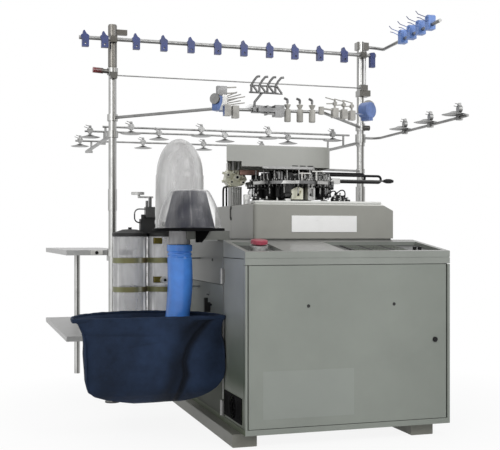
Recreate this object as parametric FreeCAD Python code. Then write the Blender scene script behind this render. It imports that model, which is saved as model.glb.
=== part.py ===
import FreeCAD, Part
import math
import os

# Sock knitting machine. Millimetres, +X along the front to the right, +Y to the back, +Z up.
# The origin is the floor point under the axis of the needle cylinder.

V = FreeCAD.Vector

# ---- base and body ----
body_left = -493.0
body_width = 1080.0
skid_width = 122.0
skid_height = 62.5
skid_length = 1412.0
skid_front = -700.0
skid_left = body_left - 47.0
skid_right = body_left + body_width - 189.0
plinth_height = 26.5
cabinet_front = -755.0
cabinet_depth = 380.0
body_depth = 872.0
seam_gap = 3.0
sheet = 3.0

# ---- cabinet and door ----
left_post_width = 11.0
right_post_width = 14.0
corner_fold = 26.0
lock_return = 24.0
apron_bottom = 867.0
apron_thick = 26.0
post_return = apron_thick
seam_height = 897.0
door_gap = 5.5
door_return = 20.0
door_pin_radius = 4.0
door_pin_length = 11.0
pin_inset = 12.0
running_gap = 0.05
lock_height = 487.0
lock_from_right = 84.0
lock_radius = 9.0
lock_head_radius = 13.0
lock_head = 5.0
lock_cam_length = 76.0

# ---- side fan ----
fan_size = 120.0
fan_thick = 26.0
fan_bore = 56.0
fan_front_inset = 110.0
fan_height = 15.0
fan_plate_length = 296.0
fan_plate_height = 124.0
fan_plate_thick = 4.0
fan_hub_radius = 22.0
fan_blades = 7
fan_tip_gap = 2.0
barrel_radius = 9.0
barrel_length = 78.0

# ---- console ----
console_front_top = 931.0
console_rear_top = 983.0
tray_depth = 18.0
tray_front_rim = 26.0
tray_rear_rim = 62.0
left_tray_start = 22.0
left_tray_width = 176.0
right_tray_start = 520.0
right_tray_width = 532.0
stop_radius = 42.0
stop_collar_radius = 45.0
stop_stem_radius = 15.0
stop_travel = 6.0
stop_cap_thick = 20.0
stop_collar_height = 28.0
knob_radius = 10.0
knob_height = 24.0
knob_pitch = 29.0
keypad_width = 310.0
keypad_thick = 4.0

# ---- body covers and bed ----
cover_thick = 18.0
bed_bottom = 757.0
bed_top = 985.0
pad_height = 7.0
pad_inset = 8.0
latch_height = 76.0
latch_reach = 40.0
latch_y = -142.0
latch_z = 640.0

# ---- head covers ----
head_left = -329.0
head_right = 458.0
head_front = -375.0
head_seam = 45.0
head_rear = 385.0
head_top = 1175.0
head_corner = 22.0
head_shoulder_x = 66.0
head_shoulder_z = 34.0

# ---- drive ----
shaft_radius = 43.0
shaft_bore = 34.0
shaft_bottom = 660.0
shaft_top = 1190.0
driven_pulley_radius = 110.0
motor_pulley_radius = 44.0
pulley_thick = 34.0
pulley_bottom = 690.0
belt_thick = 6.0
belt_width = 26.0
belt_gap = 0.3
motor_x = 300.0
motor_y = 150.0
motor_radius = 72.0
motor_length = 210.0
motor_shaft_radius = 12.0

# ---- knitting head ----
cylinder_radius = 48.0
cylinder_bore = 38.0
cylinder_top = 1325.0
needle_slots = 36
slot_width = 2.4
slot_depth = 2.6
cam_neck_radius = 120.0
cam_ring_radius = 166.0
cam_ring_bottom = 1220.0
cam_plate_bottom = 1287.0
cam_plate_thick = 17.0
cam_plate_radius = 250.0
cam_plate_bore = 60.0
cam_clearance = 4.0
dial_gap = 2.0
dial_thick = 8.0
dial_shaft_radius = 8.0
dial_plate_radius = 127.0
dial_plate_bottom = 1339.0
dial_plate_thick = 10.0
pillar_count = 6
pillar_radius = 8.0
pillar_circle = 112.0
boss_radius = 20.0
boss_height = 44.0
solenoid_count = 8
leaf_thick = 2.6
leaf_pitch = 7.2
leaf_length = 64.0
clamp_post_size = 62.0
clamp_post_x = -296.0
clamp_post_y = 84.0
clamp_block_bottom = 1281.0
clamp_block_height = 92.0
clamp_block_width = 124.0
hood_radius = 214.0
hood_left = -430.0
hood_rear_left = -296.0
hood_right = 176.0
hood_corner = 62.0
hood_bottom = 1376.0
hood_top = 1490.0
hood_step = 84.0
hood_step_height = 26.0
hose_radius = 7.0
lever_y = -62.0
lever_z = 1321.0
lever_pivot_x = 266.0
lever_rod_end = 556.0
grip_length = 60.0
grip_radius = 13.0

# ---- sock collector ----
dome_x = -680.5
dome_y = -200.0
dome_radius = 126.0
dome_step = 1323.0
dome_top = 1511.0
dome_wall = 3.0
bell_x = -700.0
bell_y = -500.0
bell_base_radius = 158.0
bell_top_radius = 92.0
bell_top = 1230.0
net_base_radius = 128.0
net_top_radius = 82.0
net_wall = 2.0
collector_plate_bottom = 1030.0
collector_plate_thick = 12.0
collector_rim = 14.0
outlet_radius = 56.0
outlet_bottom = 942.0
outlet_wall = 3.0
outlet_bead = 8.0
blue_hose_radius = 67.0
blue_hose_wall = 2.5
blue_hose_bottom = 520.0

# ---- bag ----
bag_rim_z = 600.0
bag_bottom = 172.0
bag_right = -497.0
bag_radius = 381.0
bag_front = -432.0
bag_side = 54.0
bag_wall = 5.0
bag_back_points = 22
bag_sections = (
    (1.0, 0.0, 0.0, 0.0), (0.8, 20.0, 6.0, -6.0), (0.55, 44.0, 2.0, -12.0), (0.32, 60.0, 4.0, -8.0),
    (0.17, 76.0, 24.0, 4.0), (0.08, 118.0, 66.0, 26.0), (0.025, 186.0, 132.0, 60.0), (0.0, 262.0, 212.0, 104.0),
)
rim_rod_radius = 5.0

# ---- clear tanks ----
tank_radius = 93.0
tank_wall = 4.0
tank_bottom = 245.0
tank_top = 1003.0
tank_y = 122.0
left_tank_x = -884.0
right_tank_x = -694.0
band_thick = 2.5
band_width = 28.0
upper_band_z = 873.0
lower_band_z = 716.0

# ---- yarn frame ----
post_radius = 24.0
sleeve_radius = 27.0
post_y = 690.0
left_post_x = -890.0
right_post_x = 745.0
foot_radius = 45.0
foot_thick = 8.0
rail_height = 40.0
rail_depth = 44.0
top_bar_z = 2191.0
left_post_top = top_bar_z + 94.0
right_post_top = top_bar_z + 92.0
top_bar_radius = 12.0
top_bar_left = -1095.0
bar_offset = 36.0
arm_z = top_bar_z + 60.0
arm_drop = 26.0
arm_front = -240.0
arm_x = 868.0
arm_lean = 50.0
side_arm_z = 1652.0
side_arm_front = -525.0
side_arm_x = 850.0
thin_rod_z = 1974.0
thin_rod_radius = 4.0
seat_gap = 0.3
guide_depth = 34.0
guide_pitch = 170.6
guide_count = 9
first_guide_x = -751.0
outer_guides = (-1058.0, -943.0)
end_guide_x = 812.0
arm_guide_count = 4
arm_guide_pitch = 131.0
finger_radius = 2.2
rack_z = 1700.0
rack_side_z = 1614.0
rack_radius = 6.5
rack_right = 790.0
rack_rows = (975.0, 1255.0, 1890.0)
rack_starts = (-726.0, -950.0, -938.0)
rack_lefts = (-908.0, -985.0, -972.0)
rack_guide_pitch = 464.0
dish_radius = 68.0
dish_height = 20.0
dish_drop = 42.0
feeder_z = 1722.0
feeder_rod_radius = 9.0
feeder_left = (-411.0, 129.0)
feeder_right = (227.0, 75.0)
disc_radius = 30.0
disc_thick = 14.0
right_disc_reach = 66.0
brake_radius = 19.0
brake_pitch = 73.0

# ---- creel shelves ----
shelf_left = -1160.0
shelf_right = -760.0
shelf_front = 735.0
shelf_depth = 1400.0
shelf_thick = 31.0
upper_shelf_top = 920.0
lower_shelf_top = 400.0
leg_radius = 21.0
leg_x = -950.0
leg_y = 1960.0

# ---- places worked out from the sizes ----
plinth_top = skid_height + plinth_height
body_right = body_left + body_width
cabinet_rear = cabinet_front + cabinet_depth
body_rear = cabinet_rear + seam_gap + body_depth
cabinet_top = seam_height - seam_gap
head_bottom = bed_top + pad_height
slope = math.atan2(console_rear_top - console_front_top, cabinet_depth)
stay_low_z = hood_bottom + 57
stay_high_z = hood_top + 122


def save(name, shape):
    os.makedirs("parts", exist_ok=True)
    shape.exportStep("parts/" + name + ".step")


def block(x0, x1, y0, y1, z0, z1):
    return Part.makeBox(x1 - x0, y1 - y0, z1 - z0, V(x0, y0, z0))


def rod(start, end, radius):
    path = end - start
    return Part.makeCylinder(radius, path.Length, start, path)


def upright(x, y, z0, z1, radius):
    return Part.makeCylinder(radius, z1 - z0, V(x, y, z0))


def tube(x, y, z0, z1, outer, inner):
    return upright(x, y, z0, z1, outer).cut(upright(x, y, z0, z1, inner))


def join(shapes):
    return shapes[0].fuse(shapes[1:]).removeSplitter()


def drill(shape, tools):
    return shape.cut(tools)


def group(shapes):
    return Part.makeCompound(shapes)


def prism(points, path):
    corners = [V(*p) for p in points]
    return Part.Face(Part.makePolygon(corners + corners[:1])).extrude(path)


def turned(points, x, y):
    # a solid of revolution about the upright line through x, y; points are radius and height
    corners = [V(r, 0, z) for r, z in points]
    face = Part.Face(Part.makePolygon(corners + corners[:1]))
    solid = face.revolve(V(0, 0, 0), V(0, 0, 1), 360)
    solid.translate(V(x, y, 0))
    return solid


def around(shape, count, start=0.0):
    # copies of a shape about the cylinder axis
    copies = []
    for i in range(count):
        turned_copy = shape.copy()
        turned_copy.rotate(V(0, 0, 0), V(0, 0, 1), start + 360.0 * i / count)
        copies.append(turned_copy)
    return copies


def rounded_path(points, bend):
    # straight runs joined by tangent arcs
    points = [V(*p) for p in points]
    edges = []
    here = points[0]
    for i in range(1, len(points) - 1):
        back = (points[i - 1] - points[i]).normalize()
        ahead = (points[i + 1] - points[i]).normalize()
        half = back.getAngle(ahead) / 2
        reach = bend / math.tan(half)
        first = points[i] + back * reach
        last = points[i] + ahead * reach
        inward = (back + ahead).normalize()
        middle = points[i] + inward * (bend / math.sin(half) - bend)
        edges.append(Part.LineSegment(here, first).toShape())
        edges.append(Part.Arc(first, middle, last).toShape())
        here = last
    edges.append(Part.LineSegment(here, points[-1]).toShape())
    return Part.Wire(edges)


def bent_rod(points, radius, bend):
    path = rounded_path(points, bend)
    start = V(*points[0])
    direction = V(*points[1]) - start
    circle = Part.Wire(Part.makeCircle(radius, start, direction))
    return path.makePipeShell([circle], True, False)


def belt_face(c0, r0, c1, r1, z):
    # the outline round two circles
    a = V(c0[0], c0[1], z)
    b = V(c1[0], c1[1], z)
    line = b - a
    turn = math.atan2(line.y, line.x)
    lean = math.acos((r0 - r1) / line.Length)

    def on(centre, radius, angle):
        return centre + V(math.cos(angle), math.sin(angle), 0) * radius

    upper = turn + lean
    lower = turn - lean
    edges = [
        Part.LineSegment(on(a, r0, upper), on(b, r1, upper)).toShape(),
        Part.Arc(on(b, r1, upper), on(b, r1, turn), on(b, r1, lower)).toShape(),
        Part.LineSegment(on(b, r1, lower), on(a, r0, lower)).toShape(),
        Part.Arc(on(a, r0, lower), on(a, r0, turn + math.pi), on(a, r0, upper)).toShape(),
    ]
    return Part.Face(Part.Wire(edges))


# ---------------------------------------------------------------- base

def build_base():
    for name, x in (("left_skid", skid_left), ("right_skid", skid_right)):
        beam = block(x, x + skid_width, skid_front, skid_front + skid_length, 0, skid_height)
        edges = [e for e in beam.Edges if abs(e.tangentAt(e.FirstParameter).y) > 0.9]
        save(name, beam.makeFillet(4.0, edges))
    plate = block(body_left, body_right, cabinet_front, body_rear, skid_height, plinth_top)
    pin_x, pin_y = door_pivot()
    pin = upright(pin_x, pin_y, plinth_top, plinth_top + door_pin_length, door_pin_radius)
    save("base_plate", join([plate, pin]))
    left = left_post_x + post_radius + seat_gap
    right = right_post_x - post_radius - seat_gap
    rail = block(left, right, post_y - rail_depth / 2, post_y + rail_depth / 2,
                 skid_height, skid_height + rail_height)
    middle = block(skid_left + skid_width, skid_right, -40, 40, 0, skid_height)
    save("cross_rails", group([rail, middle]))


# ---------------------------------------------------------------- cabinet

def door_pivot():
    return body_left + left_post_width + door_gap + pin_inset, cabinet_front + pin_inset


def build_cabinet():
    z0 = plinth_top
    z1 = apron_bottom - seam_gap
    post = block(body_left, body_left + left_post_width, cabinet_front, cabinet_front + post_return, z0, z1)
    inner = block(body_left + sheet, body_left + left_post_width - sheet,
                  cabinet_front + sheet, cabinet_front + post_return - sheet, z0, z1)
    outer_x = body_right
    strip_x = body_right - right_post_width
    upper_y = cabinet_front + apron_thick + seam_gap
    panel = join([
        block(strip_x, outer_x, cabinet_front, cabinet_front + sheet, z0, z1),
        block(strip_x, strip_x + sheet, cabinet_front, cabinet_front + lock_return, z0, z1),
        block(outer_x - sheet, outer_x, cabinet_front, cabinet_rear, z0, z1),
        block(outer_x - sheet, outer_x, upper_y, cabinet_rear, z0, cabinet_top),
        block(outer_x - corner_fold, outer_x, cabinet_rear - sheet, cabinet_rear, z0, cabinet_top),
    ])
    save("cabinet_sides", group([drill(post, [inner]), panel]))

    back_left = body_left + corner_fold
    back_right = outer_x - corner_fold - seam_gap
    back = block(back_left, back_right, cabinet_rear - sheet, cabinet_rear, z0, cabinet_top)
    modules = [back]
    for centre, width, height, low in ((-250.0, 180.0, 300.0, 420.0), (40.0, 220.0, 220.0, 460.0),
                                       (330.0, 140.0, 260.0, 430.0)):
        box = block(centre - width / 2, centre + width / 2, cabinet_rear - sheet - 96.0,
                    cabinet_rear - sheet, low, low + height)
        modules.append(box)
    rail = block(back_left + 60, back_right - 60, cabinet_rear - sheet - 12.0, cabinet_rear - sheet, 250, 285)
    modules.append(rail)
    save("cabinet_back_panel", group(modules))


def build_door():
    x0 = body_left + left_post_width + door_gap
    x1 = body_right - right_post_width - door_gap
    z0 = plinth_top + seam_gap
    z1 = apron_bottom - seam_gap
    outer = block(x0, x1, cabinet_front, cabinet_front + door_return, z0, z1)
    corners = [e for e in outer.Edges
               if abs(e.tangentAt(e.FirstParameter).z) > 0.9 and e.Vertexes[0].Y < cabinet_front + 1]
    outer = outer.makeFillet(5.0, corners)
    inner = block(x0 + sheet, x1 - sheet, cabinet_front + sheet, cabinet_front + door_return + 1,
                  z0 + sheet, z1 - sheet)
    pin_x, pin_y = door_pivot()
    bore = door_pin_radius + running_gap
    lock_x = body_right - lock_from_right
    cuts = [
        inner,
        upright(pin_x, pin_y, z0 - 1, z0 + sheet + 1, bore),
        upright(pin_x, pin_y, z1 - sheet - 1, z1 + 1, bore),
        rod(V(lock_x, cabinet_front - 1, lock_height), V(lock_x, cabinet_front + sheet + 1, lock_height),
            lock_radius + running_gap),
    ]
    save("front_door", drill(outer, cuts))

    head = rod(V(lock_x, cabinet_front - lock_head, lock_height),
               V(lock_x, cabinet_front - seat_gap, lock_height), lock_head_radius)
    slot = block(lock_x - 8, lock_x + 8, cabinet_front - lock_head - 1, cabinet_front - lock_head + 2,
                 lock_height - 1.2, lock_height + 1.2)
    barrel_end = cabinet_front + lock_return + seat_gap
    barrel = rod(V(lock_x, cabinet_front - lock_head, lock_height), V(lock_x, barrel_end, lock_height),
                 lock_radius)
    cam = block(lock_x - 11, lock_x + lock_cam_length, barrel_end, barrel_end + 4,
                lock_height - 10, lock_height + 10)
    save("door_lock", drill(join([head, barrel, cam]), [slot]))


def build_fan_side():
    y0 = cabinet_front + post_return + seam_gap
    y1 = cabinet_rear - seam_gap
    z0 = plinth_top + seam_gap
    z1 = cabinet_top
    fan_y = y0 + fan_front_inset + fan_size / 2
    fan_z = z0 + fan_height + fan_size / 2
    panel = block(body_left, body_left + sheet, y0, y1, z0, z1)
    lips = [
        block(body_left, body_left + post_return, y0, y0 + sheet, z0, z1),
        block(body_left, body_left + post_return, y1 - sheet, y1, z0, z1),
    ]
    hole = rod(V(body_left - 1, fan_y, fan_z), V(body_left + sheet + 1, fan_y, fan_z), fan_bore)
    barrels = []
    for low in (z0 + 4.0, z1 - 132.0):
        barrel = upright(body_left - barrel_radius, y1 - 2, low, low + barrel_length, barrel_radius)
        leaf = block(body_left - barrel_radius, body_left, y1 - 26, y1 - 2, low + 4, low + barrel_length - 4)
        barrels.append(barrel)
        barrels.append(leaf)
    edge = block(body_left - 4, body_left + 1, y1 - 12, y1, z0, z1)
    notch = block(body_left - 5, body_left, y1 - 20, y1 + 1, bag_rim_z - 12, bag_rim_z + 12)
    save("fan_panel", drill(join([panel, edge] + lips + barrels), [hole, notch]))

    half = fan_size / 2
    inside = body_left + sheet
    frame = block(inside, inside + fan_thick, fan_y - half, fan_y + half, fan_z - half, fan_z + half)
    centre = V(inside - 1, fan_y, fan_z)
    end = V(inside + fan_thick + 1, fan_y, fan_z)
    frame = frame.cut(rod(centre, end, fan_bore))
    spider_x = inside + fan_thick - 3
    spider = [rod(V(spider_x, fan_y, fan_z), V(spider_x + 3, fan_y, fan_z), fan_hub_radius - 2),
              rod(V(inside + 6, fan_y, fan_z), V(spider_x + 1, fan_y, fan_z), 3.0)]
    for angle in (45, 135, 225, 315):
        bar = block(spider_x, spider_x + 3, fan_y - 2.5, fan_y + 2.5, fan_z, fan_z + fan_bore + 2)
        bar.rotate(V(0, fan_y, fan_z), V(1, 0, 0), angle)
        spider.append(bar)
    face = body_left - fan_plate_thick
    tall = fan_plate_height / 2
    middle = (y0 + y1) / 2
    plate = block(face, body_left, middle - fan_plate_length / 2, middle + fan_plate_length / 2,
                  fan_z - tall, fan_z + tall)
    cuts = [rod(V(face - 1, fan_y, fan_z), V(body_left + 1, fan_y, fan_z), fan_bore)]
    for i in range(6):
        for y in (middle - fan_plate_length / 2 + 14 + i * 11, middle + fan_plate_length / 2 - 18 - i * 11):
            if abs(y + 2 - fan_y) > fan_bore + 8:
                cuts.append(block(face - 1, body_left + 1, y, y + 4, fan_z - tall + 18, fan_z + tall - 18))
    guard = [drill(plate, cuts)]
    for radius in (fan_bore - 12, fan_bore - 28):
        outer = rod(V(face, fan_y, fan_z), V(body_left, fan_y, fan_z), radius)
        guard.append(outer.cut(rod(V(face - 1, fan_y, fan_z), V(body_left + 1, fan_y, fan_z), radius - 3)))
    for angle in (0, 90, 180, 270):
        arm = block(face, body_left, fan_y - 1.5, fan_y + 1.5, fan_z + 26, fan_z + fan_bore + 1)
        arm.rotate(V(0, fan_y, fan_z), V(1, 0, 0), angle)
        guard.append(arm)
    save("fan_housing", group([join([frame] + spider), join(guard)]))

    hub_end = spider_x - 1.0
    hub = rod(V(inside + 3, fan_y, fan_z), V(hub_end, fan_y, fan_z), fan_hub_radius)
    blades = [hub]
    blade_reach = fan_bore - fan_tip_gap
    for i in range(fan_blades):
        blade = block(inside + 11, inside + 13, fan_y - 9, fan_y + 9, fan_z + fan_hub_radius - 3,
                      fan_z + blade_reach - 2)
        blade.rotate(V(inside + 12, fan_y, fan_z), V(0, 0, 1), 35)
        blade.rotate(V(0, fan_y, fan_z), V(1, 0, 0), 360.0 * i / fan_blades)
        blades.append(blade)
    pin_hole = rod(V(inside + 5.5, fan_y, fan_z), V(spider_x, fan_y, fan_z), 3.0 + running_gap)
    save("fan_rotor", drill(join(blades), [pin_hole]))


# ---------------------------------------------------------------- console

def on_desk(along, up):
    # y and z of a point on the sloping top: along from the front edge, up square to the slope
    y = cabinet_front + along * math.cos(slope) - up * math.sin(slope)
    z = console_front_top + along * math.sin(slope) + up * math.cos(slope)
    return y, z


def desk_block(x0, x1, a0, a1, u0, u1):
    corners = [on_desk(a0, u0), on_desk(a1, u0), on_desk(a1, u1), on_desk(a0, u1)]
    return prism([(x0, y, z) for y, z in corners], V(x1 - x0, 0, 0))


def desk_rod(x, along, u0, u1, radius):
    y0, z0 = on_desk(along, u0)
    y1, z1 = on_desk(along, u1)
    return rod(V(x, y0, z0), V(x, y1, z1), radius)


def tray_length():
    return cabinet_depth / math.cos(slope)


def build_console():
    profile = [
        (body_left, cabinet_front, apron_bottom),
        (body_left, cabinet_front, console_front_top),
        (body_left, cabinet_rear, console_rear_top),
        (body_left, cabinet_rear, seam_height),
        (body_left, cabinet_front + apron_thick, seam_height),
        (body_left, cabinet_front + apron_thick, apron_bottom),
    ]
    desk = prism(profile, V(body_width, 0, 0))
    tray_end = tray_length() - tray_rear_rim
    left0 = body_left + left_tray_start
    right0 = body_left + right_tray_start
    stop_x, stop_along = stop_place()
    stem_y, stem_z = on_desk(stop_along, -tray_depth - 30)
    groove = 2.0
    cuts = [
        desk_block(left0, left0 + left_tray_width, tray_front_rim, tray_end, -tray_depth, 5),
        desk_block(right0, right0 + right_tray_width, tray_front_rim, tray_end, -tray_depth, 5),
        desk_rod(stop_x, stop_along, -tray_depth - 30, 0, stop_stem_radius + running_gap),
        block(body_left - 1, body_right + 1, cabinet_front - 1, cabinet_front + groove,
              seam_height, seam_height + seam_gap),
        block(body_left - 1, body_left + groove, cabinet_front - 1, cabinet_rear + 1,
              seam_height, seam_height + seam_gap),
        block(body_right - groove, body_right + 1, cabinet_front - 1, cabinet_rear + 1,
              seam_height, seam_height + seam_gap),
    ]
    for x, along in knob_places():
        cuts.append(desk_rod(x, along, -tray_depth - 16, 0, 4.0 + running_gap))
    desk = drill(desk, cuts)
    pin_x, pin_y = door_pivot()
    pin = upright(pin_x, pin_y, apron_bottom - door_pin_length, apron_bottom, door_pin_radius)
    collar = desk_rod(stop_x, stop_along, -tray_depth, stop_collar_height - tray_depth, stop_collar_radius)
    collar = collar.cut(desk_rod(stop_x, stop_along, -tray_depth - 1, 10, stop_stem_radius + running_gap))
    save("console_body", join([desk, pin, collar]))

    pad0 = right0 + 84
    save("keypad", desk_block(pad0, pad0 + keypad_width, tray_front_rim + 36, tray_end - 24,
                              -tray_depth, -tray_depth + keypad_thick))

    low = -tray_depth + stop_collar_height + stop_travel + 1
    cap = desk_rod(stop_x, stop_along, low, low + stop_cap_thick, stop_radius)
    rim = [e for e in cap.Edges if e.BoundBox.ZMax > cap.BoundBox.ZMax - 12 and e.Length > 10]
    cap = cap.makeFillet(6.0, rim[:1])
    stem = desk_rod(stop_x, stop_along, -tray_depth - 30 + stop_travel + 2, low + 2, stop_stem_radius)
    save("stop_button", join([cap, stem]))

    for name, (x, along) in zip(("knob_left", "knob_right"), knob_places()):
        grip = desk_rod(x, along, -tray_depth + 1, -tray_depth + 1 + knob_height, knob_radius)
        stem = desk_rod(x, along, -tray_depth - 14, -tray_depth + 2, 4.0)
        mark = desk_block(x - 1, x + 1, along, along + knob_radius, -tray_depth + knob_height - 1,
                          -tray_depth + knob_height + 3)
        save(name, drill(join([grip, stem]), [mark]))


def stop_place():
    return body_left + left_tray_start + 92.0, tray_front_rim + 118.0


def knob_places():
    x = body_left + right_tray_start + right_tray_width - 120.0
    along = tray_front_rim + 70.0
    return (x, along), (x + knob_pitch, along)


# ---------------------------------------------------------------- body covers

def build_covers():
    y0 = cabinet_rear + seam_gap
    y1 = body_rear
    z0 = plinth_top
    z1 = bed_bottom - seam_gap
    left = block(body_left, body_left + cover_thick, y0, y1 - cover_thick - seam_gap, z0, z1)
    bore = rod(V(body_left - 1, latch_y, latch_z), V(body_left + cover_thick + 1, latch_y, latch_z),
               6.0 + running_gap)
    slot = block(body_left - 1, body_left + 3, latch_y + 18, latch_y + 42, latch_z + 62, latch_z + 68)
    save("left_side_cover", drill(left, [bore, slot]))
    stem = rod(V(body_left - 10, latch_y, latch_z), V(body_left + cover_thick + 10, latch_y, latch_z), 6.0)
    grip = block(body_left - latch_reach, body_left - 8, latch_y - 10, latch_y + 10, latch_z - latch_height / 2,
                 latch_z + latch_height / 2)
    grip = grip.cut(block(body_left - 22, body_left - 7, latch_y - 11, latch_y + 11,
                          latch_z + 14, latch_z + latch_height / 2 + 1))
    grip = grip.makeFillet(4.0, [e for e in grip.Edges if abs(e.tangentAt(e.FirstParameter).x) > 0.9])
    cam = block(body_left + cover_thick + 2, body_left + cover_thick + 7, latch_y - 10, latch_y + 10,
                latch_z - 10, latch_z + 44)
    save("side_latch", join([stem, grip, cam]))

    right = block(body_right - cover_thick, body_right, y0, y1 - cover_thick - seam_gap, z0, z1)
    rear = block(body_left, body_right, y1 - cover_thick, y1, z0, z1)
    vents = []
    for i in range(8):
        x = body_left + 300 + i * 60.0
        vents.append(block(x, x + 30, y1 - 4, y1 + 1, z0 + 120, z0 + 126))
        vents.append(block(x, x + 30, y1 - 4, y1 + 1, z0 + 150, z0 + 156))
    save("body_covers", group([right, drill(rear, vents)]))

    bed = block(body_left, body_right, y0, y1, bed_bottom, bed_top)
    edges = [e for e in bed.Edges if e.BoundBox.ZMin > bed_top - 1]
    bed = bed.makeFillet(6.0, edges)
    pad = block(head_left + pad_inset, head_right - pad_inset, y0 + pad_inset, head_rear - pad_inset,
                bed_top - 2, head_bottom)
    bore = upright(0, 0, bed_bottom - 1, head_bottom + 1, shaft_radius + running_gap)
    save("bed_casting", drill(join([bed, pad]), [bore]))


def build_head_covers():
    shoulder_x = head_right - head_shoulder_x
    front = [
        (head_left, head_front, head_bottom),
        (head_right, head_front, head_bottom),
        (head_right, head_front, head_top - head_shoulder_z),
        (shoulder_x, head_front, head_top),
        (head_left, head_front, head_top),
    ]
    cover = prism(front, V(0, head_seam - head_front, 0))
    soft = [e for e in cover.Edges
            if (abs(e.tangentAt(e.FirstParameter).z) > 0.9 and e.BoundBox.YMax < head_front + 1
                and e.BoundBox.XMax < head_left + 1)]
    cover = cover.makeFillet(head_corner, soft)
    top_front = [e for e in cover.Edges
                 if e.BoundBox.ZMin > head_top - 1 and e.BoundBox.YMax < head_front + 1 and e.Length > 100]
    cover = cover.makeFillet(9.0, top_front)
    hollow = prism([(x + (sheet if x == head_left else -sheet if x > 0 else 0), head_front + sheet,
                     z - (sheet if z > head_bottom else 1)) for x, y, z in front],
                   V(0, head_seam - head_front, 0))
    soft = [e for e in hollow.Edges
            if (abs(e.tangentAt(e.FirstParameter).z) > 0.9 and e.BoundBox.YMax < head_front + sheet + 1
                and e.BoundBox.XMax < head_left + sheet + 1)]
    hollow = hollow.makeFillet(head_corner - sheet, soft)
    throat = upright(0, 0, head_bottom - 1, head_top + 1, cam_neck_radius + 1)
    front_cover = drill(cover, [hollow, throat])

    back = [(x, head_seam + seam_gap, z) for x, y, z in front]
    rear = prism(back, V(0, head_rear - head_seam - seam_gap, 0))
    hollow = prism([(x + (sheet if x == head_left else -sheet if x > 0 else 0), head_seam,
                     z - (sheet if z > head_bottom else 1)) for x, y, z in front],
                   V(0, head_rear - head_seam - sheet, 0))
    save("head_covers", group([front_cover, drill(rear, [hollow, throat])]))


# ---------------------------------------------------------------- drive

def build_drive():
    top = pulley_bottom - 10
    bracket_x = motor_x + motor_radius
    body = upright(motor_x, motor_y, top - motor_length, top, motor_radius)
    foot = block(bracket_x - 8, bracket_x + 12, motor_y - 90, motor_y + 90, top - motor_length, bed_bottom)
    bore = upright(motor_x, motor_y, top - 40, top + 1, motor_shaft_radius + running_gap)
    save("drive_motor", drill(join([body, foot]), [bore]))

    pulley = upright(motor_x, motor_y, pulley_bottom, pulley_bottom + pulley_thick, motor_pulley_radius)
    shaft = upright(motor_x, motor_y, top - 36, pulley_bottom + pulley_thick, motor_shaft_radius)
    save("motor_pulley", join([pulley, shaft]))

    inner_a = driven_pulley_radius + belt_gap
    inner_b = motor_pulley_radius + belt_gap
    z = pulley_bottom + (pulley_thick - belt_width) / 2
    centre = (motor_x, motor_y)
    outer = belt_face((0, 0), inner_a + belt_thick, centre, inner_b + belt_thick, z)
    inner = belt_face((0, 0), inner_a, centre, inner_b, z)
    save("drive_belt", outer.cut(inner).extrude(V(0, 0, belt_width)))

    shaft = tube(0, 0, shaft_bottom, shaft_top, shaft_radius, shaft_bore)
    pulley = tube(0, 0, pulley_bottom, pulley_bottom + pulley_thick, driven_pulley_radius, shaft_bore)
    save("cylinder_shaft", join([shaft, pulley]))


# ---------------------------------------------------------------- knitting head

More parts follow.
